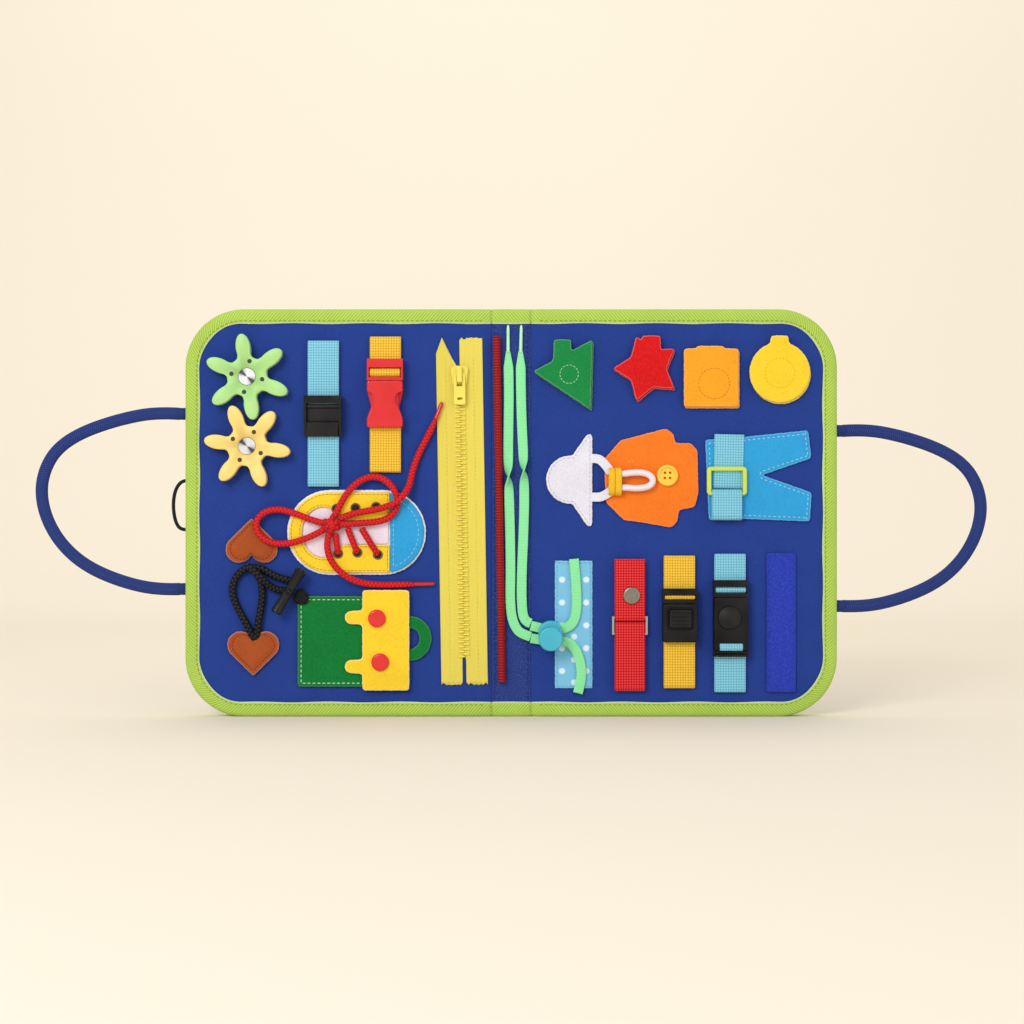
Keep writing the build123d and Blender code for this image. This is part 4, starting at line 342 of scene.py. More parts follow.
def metal(name, colour, gloss):
    """Plated metal: fine scuffs in gloss and a little uneven tone."""
    r = Recipe(name)
    scuff = r.noise(900.0, 4.0, 0.7, (1.0, 1.0, 6.0))
    base = r.ramp(scuff, (0.3, tint(colour, 0.82)), (0.7, pale(colour, 0.08)))
    rough = r.math("ADD", gloss, r.math("MULTIPLY", scuff, 0.12))
    return r.finish(base, rough, r.bump(scuff, 0.08, 0.1), Metallic=1.0)


def painted_glint(name, colour, x, low, high):
    """Screw heads with a painted glint: light and dark sectors of painted reflection about each head's
    middle, the size of the sine of the angle."""
    r = Recipe(name)
    where = r.node("SeparateXYZ", {0: r.place((1000.0, 1000.0, 1000.0))})
    upper = r.math("GREATER_THAN", where.outputs[2], (low + high) / 2)
    middle = r.math("ADD", low, r.math("MULTIPLY", upper, high - low))
    angle = r.math("ARCTAN2", r.math("SUBTRACT", where.outputs[2], middle),
                   r.math("SUBTRACT", where.outputs[0], x))
    glint = r.math("ABSOLUTE", r.math("SINE", r.math("ADD", angle, 0.7)))
    base = r.ramp(glint, (0.20, tint(colour, 0.12)), (0.42, tint(colour, 0.8)), (0.8, pale(colour, 0.4)))
    return r.finish(base, 0.24, r.bump(r.noise(900.0), 0.05, 0.1), Metallic=0.7)


def dotted(name, colour):
    """Ribbon with round dots in staggered columns, and fine cross ribs."""
    r = Recipe(name)
    where = r.node("SeparateXYZ", {0: r.place((1000.0, 1000.0, 1000.0))})
    across, up = where.outputs[0], where.outputs[2]
    column = r.math("DIVIDE", r.math("SUBTRACT", across, 31.2), 7.4)
    near = r.math("ROUND", column)
    row = r.math("ADD", r.math("DIVIDE", up, 14.0), r.math("MULTIPLY", near, 0.5))
    left = r.math("MULTIPLY", r.math("SUBTRACT", column, near), 7.4)
    off = r.math("MULTIPLY", r.math("SUBTRACT", row, r.math("ROUND", row)), 14.0)
    away = r.math("SQRT", r.math("ADD", r.math("MULTIPLY", left, left), r.math("MULTIPLY", off, off)))
    dot = r.ramp(r.math("DIVIDE", away, 4.0), (0.36, grey(1.0)), (0.56, grey(0.0)))
    rib = r.wave(up, 0.7)
    cloth = r.ramp(rib, (0.0, tint(colour, 0.86)), (1.0, pale(colour, 0.06)))
    base = r.mix(dot, cloth, (0.72, 0.86, 0.95, 1.0))
    return r.finish(base, 0.6, r.bump(rib, 0.25, 0.2), Sheen_Weight=0.04, Specular_IOR_Level=0.2)


def hooks(name, colour):
    """Hook-and-loop strip: a dense pile of tiny loops."""
    r = Recipe(name)
    pile = r.node("TexVoronoi", {"Vector": r.place(), "Scale": 900.0}).outputs["Distance"]
    fuzz = r.noise(1300.0, 3.0, 0.7)
    height = r.math("ADD", pile, r.math("MULTIPLY", fuzz, 0.6))
    base = r.ramp(height, (0.3, pale(colour, 0.02)), (0.9, tint(colour, 0.8)))
    return r.finish(base, 0.9, r.bump(height, 0.6, 0.5), Sheen_Weight=0.05, Specular_IOR_Level=0.1)


def spots(route):
    """(x, z, height) rows as points over the front felt."""
    r = np.array(route, float)
    return np.stack([r[:, 0], FRONT - r[:, 2], r[:, 1]], axis=1)


def lay(outline, height):
    """(x, z) rows as points at one height over the front felt."""
    r = np.array(outline, float)
    return np.stack([r[:, 0], np.full(len(r), FRONT - height), r[:, 1]], axis=1)


def unit(v):
    return v / np.maximum(np.linalg.norm(v, axis=-1, keepdims=True), 1e-9)


def lengths(path):
    """Distance along a path at each of its points."""
    return np.concatenate([[0], np.cumsum(np.linalg.norm(np.diff(path, axis=0), axis=1))])


def at_lengths(path, s):
    """Points at given distances along a path."""
    run = lengths(path)
    return np.stack([np.interp(s, run, path[:, k]) for k in range(path.shape[1])], axis=1)


def spaced(path, step):
    """The path again with even points about a step apart."""
    total = lengths(path)[-1]
    return at_lengths(path, np.linspace(0, total, max(2, int(total / step) + 1)))


def closed(outline):
    """An outline with its first point again at the end."""
    return np.concatenate([outline, outline[:1]])


def arc(x, z, radius, start, stop, count=24):
    """Points round a circle from one angle to another, in degrees."""
    a = np.radians(np.linspace(start, stop, count))
    return np.stack([x + radius * np.cos(a), z + radius * np.sin(a)], axis=1)


def cut_area(outline):
    """Area inside an outline, positive when it runs counterclockwise."""
    x, z = outline.T
    return 0.5 * float(np.sum(x * np.roll(z, -1) - np.roll(x, -1) * z))


def cut_line(outline, step=1.2, soft=2):
    """A cut edge: the outline with even points, counterclockwise, its corners eased by averaging
    neighbours."""
    line = np.array(outline, float)
    if cut_area(line) < 0:
        line = line[::-1]
    line = spaced(closed(line), step)[:-1]
    for _ in range(soft):
        line = 0.25 * np.roll(line, 1, 0) + 0.5 * line + 0.25 * np.roll(line, -1, 0)
    return line


def outward(line):
    """Unit normals of a counterclockwise outline."""
    t = unit(np.roll(line, -1, 0) - np.roll(line, 1, 0))
    return np.stack([t[:, 1], -t[:, 0]], axis=1)


def bar_profile(first, second, corner, count=4):
    """Outline of a bar with round corners: first by second, in its own two axes."""
    a = np.radians(np.linspace(0, 90, count))
    turn = np.concatenate([a, a + np.pi / 2, a + np.pi, a + 1.5 * np.pi])
    reach = [first / 2 - corner, second / 2 - corner]
    mid = np.repeat([[1, 1], [-1, 1], [-1, -1], [1, -1]], count, axis=0) * reach
    return mid + corner * np.stack([np.cos(turn), np.sin(turn)], axis=1)


def round_profile(radius, sides):
    a = np.arange(sides) * 2 * np.pi / sides
    return radius * np.stack([np.cos(a), np.sin(a)], axis=1)


def carried(path, profile, side, ring=False, turn=None, size=None):
    """A profile carried along a path: point = centre + n * first + b * second, where n is square to the
    path and to side, and b is square to both. turn winds the profile about the path, and size scales it."""
    step = np.roll(path, -1, 0) - np.roll(path, 1, 0) if ring else np.gradient(path, axis=0)
    t = unit(step)
    n = unit(np.cross(t, side))
    b = np.cross(t, n)
    if turn is not None:
        c, s = np.cos(turn)[:, None], np.sin(turn)[:, None]
        n, b = n * c + b * s, b * c - n * s
    scale = np.ones(len(path)) if size is None else size
    flat = profile[None] * scale[:, None, None]
    return path[:, None] + n[:, None] * flat[..., :1] + b[:, None] * flat[..., 1:]


class Surface:
    """Points, faces and face-corner millimetres of one piece, gathered from grids."""

    def __init__(self):
        self.points, self.faces, self.corners, self.smooth, self.size = [], [], [], [], 0

    def add(self, points, along=None, across=None, ring=False):
        """Rows of points as quads, for one grid or for many alike. Each row is joined end to end; with ring
        the last row meets the first, and otherwise a face closes each end. Faces are turned outward by the
        signed volume."""
        points = points if points.ndim == 4 else points[None]
        c, n, m, _ = points.shape
        i, j = np.meshgrid(np.arange(n if ring else n - 1), np.arange(m), indexing="ij")
        i, j = i.reshape(-1, 1) + [0, 0, 1, 1], j.reshape(-1, 1) + [0, 1, 1, 0]
        along = np.arange(n + 1.0) if along is None else along
        across = np.arange(m + 1.0) if across is None else across
        faces, uv = (i % n) * m + j % m, np.stack([along[i], across[j]], axis=-1)
        ends = [] if ring else [np.arange(m)[::-1], (n - 1) * m + np.arange(m)]
        p = points[0].reshape(-1, 3) - points[0].mean(axis=(0, 1))
        fans = [np.stack([np.full(m - 2, e[0]), e[1:-1], e[2:]], axis=1) for e in ends]
        tri = np.concatenate([faces[:, :3], faces[:, [0, 2, 3]], *fans])
        if np.sum(p[tri[:, 0]] * np.cross(p[tri[:, 1]], p[tri[:, 2]])) < 0:
            faces, uv, ends = faces[:, ::-1], uv[:, ::-1], [e[::-1] for e in ends]
        start = self.size + n * m * np.arange(c)
        self.points.append(points.reshape(-1, 3))
        self.faces += (faces + start[:, None, None]).reshape(-1, 4).tolist()
        self.corners.append(np.tile(uv.reshape(-1, 2), (c, 1)))
        self.smooth.append(np.ones(c * len(faces), bool))
        for e in ends:
            self.faces += (e + start[:, None]).tolist()
            self.corners.append(np.tile(np.stack([along[e // m], across[e % m]], axis=1), (c, 1)))
            self.smooth.append(np.zeros(c, bool))
        self.size += c * n * m
        return self

    def build(self, name, finish, body, nodes=(), slot=None):
        """The mesh object, riding a body and standing for CAD nodes."""
        mesh = bpy.data.meshes.new(name)
        mesh.from_pydata((np.concatenate(self.points) * MM).tolist(), [], self.faces)
        corners = np.concatenate(self.corners).astype(np.float32).ravel()
        mesh.uv_layers.new(name="mm").data.foreach_set("uv", corners)
        mesh.polygons.foreach_set("use_smooth", np.concatenate(self.smooth))
        mesh.materials.append(finish)
        obj = bpy.data.objects.new(name, mesh)
        bpy.context.scene.collection.objects.link(obj)
        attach(obj, body)
        if nodes:
            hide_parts(*nodes)
        return obj


def dress(finish, *nodes):
    """One finish on CAD nodes that stay as they are."""
    for name in nodes:
        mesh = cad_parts[name].data
        mesh.materials.clear()
        mesh.materials.append(finish)


def drawn_in(line, inset):
    """An outline scaled about its middle, so that it shrinks by an inset on average."""
    middle = line.mean(axis=0)
    share = 1 - inset / np.linalg.norm(line - middle, axis=1).mean()
    return middle + (line - middle) * share


def felt_slab(outline, low, thick, seam=None, step=1.2, soft=2):
    """Cut felt: rings of the outline rise from the lower face, bulge, round over and close in a flat top.
    Ring k is the outline moved out along its normal by off[k] at height low + thick * up[k]. A seam adds a
    stitched groove and a crown inside it, on rings drawn towards the middle."""
    line = cut_line(outline, step, soft)
    normal = outward(line)
    off, up = [-0.35, -0.05, 0.05, -0.15, -0.8], [0.0, 0.15, 0.55, 0.88, 1.0]
    rough = 0.1 * np.sin(np.arange(len(line)) * 2.4) + 0.06 * np.sin(np.arange(len(line)) * 5.3)
    flat = line[None] + normal[None] * (np.array(off)[:, None] + rough)[..., None]
    if seam is not None:
        inset, depth = seam
        rings = [drawn_in(line, inset + more) for more in (-0.8, 0.0, 0.9, 3.5)]
        flat = np.concatenate([flat, rings])
        up += [1.05, 1.0 - depth / thick, 1.08, 1.25]
    height = np.broadcast_to((low + thick * np.array(up))[:, None], flat.shape[:2])
    points = np.stack([flat[..., 0], FRONT - height, flat[..., 1]], axis=-1)
    return Surface().add(points, across=lengths(closed(line)))


def felt_patch(name, outline, low, thick, finish, body, nodes, slot, rests, **more):
    """A cut of felt, laid on what is under it."""
    obj = felt_slab(outline, low, thick, **more).build(name, finish, body, nodes, slot)
    line = cut_line(outline)
    size = np.ptp(line, axis=0)
    area = min(cut_area(line), float(size.prod()))
    return obj


def capsules(surface, centre, along, out, length, radius, thick):
    """A short rounded bar at every centre: ring k lies at along * length * t_k, with half-sizes radius *
    w_k to the side and thick * w_k outward."""
    t, w = np.array([-0.5, -0.34, 0.34, 0.5]), np.array([0.35, 1.0, 1.0, 0.35])
    a = np.arange(6) * np.pi / 3
    side = np.cross(along, out)
    points = (centre[:, None, None] + along[:, None, None] * (length * t)[None, :, None, None]
              + side[:, None, None] * (radius * w[:, None] * np.cos(a))[None, ..., None]
              + out[:, None, None] * (thick * w[:, None] * np.sin(a))[None, ..., None])
    return surface.add(points)


def sew(surface, path, sizes, out=OUT, pitch=None, length=None):
    """Stitches along a path: short bars of thread, half sunk, one pitch apart."""
    pitch = sizes.stitch_pitch / MM if pitch is None else pitch
    length = sizes.stitch_length / MM if length is None else length
    total = lengths(path)[-1]
    count = max(2, int(round(total / pitch)))
    middle = (np.arange(count) + 0.5) * total / count
    centre = at_lengths(path, middle)
    along = unit(at_lengths(path, middle + 0.2) - at_lengths(path, middle - 0.2))
    outs = np.broadcast_to(out, centre.shape)
    radius = sizes.thread / MM / 2
    return capsules(surface, centre, along, outs, length, radius, radius * 0.8)


def sew_edge(surface, outline, inset, height, sizes, soft=2, **more):
    """Stitches a little inside a cut edge."""
    line = cut_line(outline, 1.0, soft)
    line = closed(line - outward(line) * inset)
    return sew(surface, lay(line, height), sizes, **more)


def ball(surface, x, z, height, radius, lumps=0.08, thick=0.85):
    """A knot: a sphere with its radius rising and falling as lumps * sin(5 * turn) * sin(4 * lift), pressed
    to a share of its thickness."""
    lift, turn = np.meshgrid(np.linspace(0.12, np.pi - 0.12, 12), np.arange(18) * np.pi / 9, indexing="ij")
    r = radius * (1 + lumps * np.sin(5 * turn) * np.sin(4 * lift) + 0.5 * lumps * np.sin(3 * turn + 2 * lift))
    points = np.stack([x + r * np.sin(lift) * np.cos(turn), FRONT - height - r * np.cos(lift) * thick,
                       z + r * np.sin(lift) * np.sin(turn)], axis=-1)
    return surface.add(points)


def ring_of(surface, x, z, height, radius, wire):
    """A round ring lying on the felt: a circle of wire carried round a circle."""
    path = lay(arc(x, z, radius, 0, 345, 24), height)
    return surface.add(carried(path, round_profile(wire, 8), AXIS_Y, ring=True), ring=True)


def strap_loop(surface, x, width, low, high, base, space):
    """Webbing folded into a flat loop: a bar of webbing carried round a long slot in height and Z."""
    r = (WEB + space) / 2
    middle, lo, hi = base + WEB + space / 2, low + WEB / 2 + r, high - WEB / 2 - r
    z, a = np.linspace(lo, hi, 30), np.linspace(0, np.pi, 9)[1:-1]
    height = np.concatenate([np.full(30, middle + r), middle + r * np.cos(a), np.full(30, middle - r),
                             middle - r * np.cos(a)])
    up = np.concatenate([z, hi + r * np.sin(a), z[::-1], lo - r * np.sin(a)])
    path = np.stack([np.full(len(up), float(x)), FRONT - height, up], axis=1)
    profile = bar_profile(WEB, width, 0.45)
    points = carried(path, profile, AXIS_X, ring=True)
    return surface.add(points, lengths(closed(path)), lengths(closed(profile)), ring=True)


def strap_run(surface, path, width, thick=WEB, side=AXIS_X):
    """A single layer of webbing carried along a path."""
    profile = bar_profile(thick, width, min(0.45, thick * 0.4))
    return surface.add(carried(path, profile, side), lengths(path), lengths(closed(profile)))


def nurbs_line(points):
    """Points read from a NURBS spline of order 3 over a route, in millimetres."""
    curve = bpy.data.curves.new("route", "CURVE")
    curve.dimensions = "3D"
    curve.resolution_u = 16
    spline = curve.splines.new("NURBS")
    spline.points.add(len(points) - 1)
    spline.points.foreach_set("co", np.c_[points * MM, np.ones(len(points))].ravel())
    spline.order_u = 3
    spline.use_endpoint_u = True
    holder = bpy.data.objects.new("route", curve)
    mesh = bpy.data.meshes.new_from_object(holder)
    line = np.empty(len(mesh.vertices) * 3)
    mesh.vertices.foreach_get("co", line)
    bpy.data.meshes.remove(mesh)
    bpy.data.objects.remove(holder)
    bpy.data.curves.remove(curve)
    return line.reshape(-1, 3) / MM


def free_cord(name, line, profile, thick, finish, body, nodes, slot, far_end, side=AXIS_Y, turn=None,
              size=None, stiffness="limp", hang="loose", tips=()):
    """A cord: a profile carried along points read from its spline."""
    points = carried(line, profile, side, turn=turn, size=size)
    around = np.linspace(0, 1, len(profile) + 1)
    obj = Surface().add(points, lengths(line), around).build(name, finish, body, nodes, slot)
    return obj


def round_cord(name, route, thick, finish, body, nodes, slot, far_end="object", **more):
    """A round cord along a route of points."""
    line = spaced(nurbs_line(route), 0.8)
    return free_cord(name, line, round_profile(thick / 2, 14), thick, finish, body, nodes, slot, far_end,
                     **more)


def tip_on(name, line, finish, body, thick):
    """A slim tip: a round profile that narrows a little towards its end."""
    size = np.interp(np.linspace(0, 1, len(line)), [0, 0.06, 0.9, 1.0], [0.85, 1.0, 0.86, 0.5])
    tip = Surface().add(carried(line, round_profile(thick / 2, 10), AXIS_Y, size=size))
    return tip.build(name, finish, body)


class BOARD_OT_covers(bpy.types.Operator):
    """Felt covers of the two halves and the spine"""
    bl_idname = "board.covers"
    bl_label = "Felt covers"

    def cover(self, low, high, creases):
        """A flat tube of felt: rows climb in Z, each across the front and back along the rear. x runs from
        low to high, and y is 5.5 mm less a crease at each fold, exp(-(distance / 3)^2), and faint waves."""
        z = HIGH / 2 - (HIGH / 2 - 2) * np.cos(np.linspace(0, np.pi, 90))
        u = (1 - np.cos(np.linspace(0, np.pi, 64))) / 2
        zz, uu = np.meshgrid(z, u, indexing="ij")
        x = low(zz) + (high(zz) - low(zz)) * uu
        dip = 0.08 * (1 + np.sin(x / 13 + 1.4 * np.sin(zz / 27)))
        for fold in creases:
            dip = dip + 0.9 * np.exp(-((x - fold) / 3.0) ** 2)
        front = np.stack([x, FRONT + dip, zz], axis=-1)
        back = np.stack([x, -FRONT - dip, zz], axis=-1)
        return Surface().add(np.concatenate([front, back[:, ::-1]], axis=1))

    def execute(self, context):
        c = context.scene.board_colours
        navy = felt("navy felt", c.navy, 0.012)

        def edge(z):
            r = CORNER - 2
            d = np.clip(np.minimum(z, HIGH - z) - 2, 0, r)
            return HALF_W - 2 - r + np.sqrt(r * r - (r - d) ** 2)

        left = self.cover(lambda z: -edge(z), lambda z: np.full(z.shape, -FOLD - 0.2), [-FOLD])
        left = left.build("left_cover", navy, "left_half", ("left_felt", "left_core"), "navy_felt")
        right = self.cover(lambda z: np.full(z.shape, FOLD + 0.2), edge, [FOLD])
        right = right.build("right_cover", navy, "right_half", ("right_felt", "right_core"), "navy_felt")
        spine_felt = felt("spine felt", tuple(v * 0.86 for v in c.navy), 0.08)
        spine = self.cover(lambda z: np.full(z.shape, 0.2 - FOLD), lambda z: np.full(z.shape, FOLD - 0.2),
                           [-FOLD, FOLD])
        spine = spine.build("spine_cover", spine_felt, "spine", ("spine_felt",), "navy_felt")
        # A darker navy: the thread colour of the spine seams, and painted shade in the creases at the folds.
        seams = felt("navy thread and crease shade", tuple(v * 0.7 for v in c.navy), 0.05)
        rows = Surface()
        for x in (-10.2, 10.2):
            sew(rows, lay([(x, 10), (x, 240)], -0.35), context.scene.board_sizes)
        rows.build("spine_seams", seams, "spine")
        # Painted shade: a dark navy bar behind the gap at each fold stands for the shade in the crease.
        folds = Surface()
        for x in (-FOLD, FOLD):
            path = np.stack([np.full(40, x), np.zeros(40), np.linspace(2, HIGH - 2, 40)], axis=1)
            folds.add(carried(path, bar_profile(8.6, 1.4, 0.3), AXIS_X), lengths(path))
        folds.build("spine_crease_shade", seams, "spine", slot="navy_felt")
        return {"FINISHED"}


class BOARD_OT_binding(bpy.types.Operator):
    """Lime binding tape round both halves and over the ends of the spine, with its stitching"""
    bl_idname = "board.binding"
    bl_label = "Binding tape"

    FACE = [(9.0, -5.55), (9.0, -6.2), (8.6, -6.5), (6.6, -6.75), (4.6, -6.9), (2.6, -6.8), (1.2, -6.4),
            (0.35, -5.6), (0.0, -4.4), (0.0, -2.2)]
    LINING = [(3.0, 5.4), (1.0, 4.6), (1.0, -4.6), (3.0, -5.4)]
    PROFILE = np.array(FACE + [(0.0, 0.0)] + [(depth, -y) for depth, y in FACE[::-1]] + LINING)

    def tape(self, line, inward, ends):
        """Tape folded over an edge: a C profile of (depth from the edge, y) carried along the edge line. It
        narrows by a pinch where it meets a fold, and its inner edges wander a little."""
        s = lengths(line)
        far = np.minimum(*(np.abs(s - e) for e in ends)) if len(ends) == 2 else np.abs(s - ends[0])
        pinch = 1 - 0.16 * np.exp(-(far / 4.0) ** 2)
        depth = self.PROFILE[:, 0] * (1 + 0.03 * np.sin(s / 7.0)[:, None] * (self.PROFILE[:, 0] > 8))
        y = self.PROFILE[:, 1] * pinch[:, None]
        flat = line[:, None] + inward[:, None] * depth[..., None]
        points = np.stack([flat[..., 0], y, flat[..., 1]], axis=-1)
        return points, s, lengths(closed(self.PROFILE))

    def execute(self, context):
        c, sizes = context.scene.board_colours, context.scene.board_sizes
        cloth = twill("binding twill", c.tape, sizes.twill / MM)
        thread = felt("binding thread", tuple(v * 0.5 for v in c.tape))
        edge = np.concatenate([[(FOLD + 0.2, HIGH)], arc(HALF_W - CORNER, HIGH - CORNER, CORNER, 90, 0, 40),
                               arc(HALF_W - CORNER, CORNER, CORNER, 0, -90, 40), [(FOLD + 0.2, 0.0)]])
        edge = spaced(edge, 1.6)
        t = unit(np.gradient(edge, axis=0))
        inward = np.stack([t[:, 1], -t[:, 0]], axis=1)
        for half, sign in (("left", -1), ("right", 1)):
            flip = np.array([sign, 1])
            ends = [0.0, lengths(edge)[-1]]
            points, s, across = self.tape(edge * flip, inward * flip, ends)
            Surface().add(points, s, across).build(f"{half}_tape", cloth, f"{half}_half",
                                                   (f"{half}_binding",), "binding")
            rows = Surface()
            seam = (edge + inward * 7.3) * flip
            for y, out in ((-6.66, OUT), (6.66, -OUT)):
                path = np.stack([seam[:, 0], np.full(len(seam), y), seam[:, 1]], axis=1)
                sew(rows, path[3:-3], sizes, out)
            rows.build(f"{half}_tape_stitches", thread, f"{half}_half")
        ends_tape = Surface()
        for z, way in ((HIGH, -1.0), (0.0, 1.0)):
            line = np.stack([np.linspace(0.2 - FOLD, FOLD - 0.2, 20), np.full(20, z)], axis=1)
            points, s, across = self.tape(line, np.tile([0.0, way], (20, 1)), [0.0, 2 * FOLD - 0.4])
            ends_tape.add(points, s, across)
            for x in (-FOLD, FOLD):
                path = np.array([(x, 0.0, z + way * rise) for rise in (0.6, 4.0, 8.6)])
                ends_tape.add(carried(path, bar_profile(11.2, 1.2, 0.3), AXIS_X))
        ends_tape.build("spine_tape", cloth, "spine", ("spine_binding",), "binding")
        return {"FINISHED"}


class BOARD_OT_handles(bpy.types.Operator):
    """Carry handles and the elastic closure loop"""
    bl_idname = "board.handles"
    bl_label = "Handles and closure loop"

    def execute(self, context):
        c = context.scene.board_colours
        rope = braid("handle weave", c.handle, 1.3, 9.0, 0.8)
        for half, sign, middle in (("left", -1, 132.0), ("right", 1, 121.5)):
            route = np.array([(sign * (HALF_W + 4.2 + out), 0.0, middle + rise) for out, rise in HANDLE_ARCH])
            line = spaced(nurbs_line(route), 0.8)
            free_cord(f"{half}_carry_handle", line, bar_profile(7.6, 5.0, 2.3), 7.8, rope, f"{half}_handle",
                      (f"{half}_handle",), "navy_webbing", "object", stiffness="stiff", hang="taut")
            roots = Surface()
            for z in (route[0][2], route[-1][2]):
                path = np.stack([sign * np.linspace(HALF_W - 2, HALF_W + 7, 12), np.zeros(12),
                                 np.full(12, z)], axis=1)
                size = np.sqrt(1 - np.linspace(0, 0.94, 12) ** 6)
                roots.add(carried(path, round_profile(3.7, 16), AXIS_Y, size=size), lengths(path))
            roots.build(f"{half}_handle_roots", rope, f"{half}_half", slot="navy_webbing")
        elastic = braid("black elastic", c.black, 1.4)
        loop = np.array([(-HALF_W - out, 0.0, z) for out, z in CLOSURE_LOOP])
        round_cord("elastic_closure", loop, 2.2, elastic, "left_half", ("closure_loop",), "black_cord",
                   stiffness="medium", hang="taut")
        dress(plastic("button yellow", c.button, 0.32, 0.04, 0.2), "sewn_buttons")
        return {"FINISHED"}


class BOARD_OT_gears(bpy.types.Operator):
    """Finger gears with petal arms, dark discs of painted shade in their peg holes, and the finish of their
    pivots with its painted glint
    """
    bl_idname = "board.gears"
    bl_label = "Finger gears"

    X, BACK, TOP = -161.0, 1.3, 8.3

    def petals(self, z, phase):
        """Six petals round a hub: far half of an ellipse 17 by 8.8 mm set 18 mm out, seen from its
        tangents, and the hub's circle between two petals."""
        out, half, wide, hub = 18.0, 8.5, 4.4, 12.2
        stop = np.arccos(-half / out)
        a = np.linspace(-stop, stop, 30)
        x, y = out + half * np.cos(a), wide * np.sin(a)
        reach = np.arctan2(y[-1], x[-1])
        between = np.linspace(reach + 0.1, np.pi / 3 - reach - 0.1, 8)
        r = np.concatenate([np.hypot(x, y), np.full(8, hub)])
        turn = np.concatenate([np.arctan2(y, x), between])
        turns = (turn[None] + np.arange(6)[:, None] * np.pi / 3 + np.radians(phase)).ravel()
        r = np.tile(r, 6)
        return np.stack([self.X + r * np.cos(turns), z + r * np.sin(turns)], axis=1)

    def gear(self, z, phase):
        """Rings of the petal outline climb the rim and round over, then the screw's seat and the post's
        bore go back down: seat and bore points are the gear's middle plus a radius along each outline
        point's direction."""
        line = cut_line(self.petals(z, phase), 0.7, 2)
        middle = np.array([self.X, z])
        ray = unit(line - middle)
        inset = [0.7, 0.0, 0.0, 0.25, 0.8]
        up = [self.BACK, self.BACK + 0.7, self.TOP - 0.8, self.TOP - 0.25, self.TOP]
        rows = [line - outward(line) * d for d in inset]
        for radius, height in ((5.4, self.TOP), (5.4, 6.1), (4.3, 6.1), (4.3, self.BACK)):
            rows.append(middle + ray * radius)
            up.append(height)
        points = np.stack([lay(row, height) for row, height in zip(rows, up)])
        return Surface().add(points, ring=True)

    def execute(self, context):
        c = context.scene.board_colours
        for name, z, phase, first, colour in (("green", 208.0, 278.0, 80.0, c.gear_green),
                                              ("yellow", 165.7, 52.0, 63.0, c.gear_yellow)):
            gear = self.gear(z, phase)
            gear.build(f"{name}_petal_gear", plastic(f"gear {name}", colour, 0.45, 0.06), f"{name}_gear",
                       (f"{name}_gear",), f"{name}_plastic")
            # Painted shade: a dark disc, 6% of the gear's colour, fills each peg hole and stands for the
            # shade inside it.
            peg_hole_shade = Surface()
            for x, up in arc(self.X, z, 9.5, first, first + 270, 4):
                rim = arc(x, up, 1.4, 0, 330, 12)
                peg_hole_shade.add(np.stack([lay(rim, self.TOP - 1.0), lay(rim, self.TOP + 0.03)]))
            peg_hole_shade.build(f"{name}_gear_hole_shade", plastic(f"{name} hole", tuple(v * 0.06 for v in colour), 0.6),
                       f"{name}_gear")
        # The pivots' steel carries a painted glint: light and dark sectors of painted reflection round each
        # screw head.
        dress(painted_glint("pivot steel with painted glint", srgb(215, 215, 218), self.X, 165.7, 208.0), "gear_pivots")
        return {"FINISHED"}


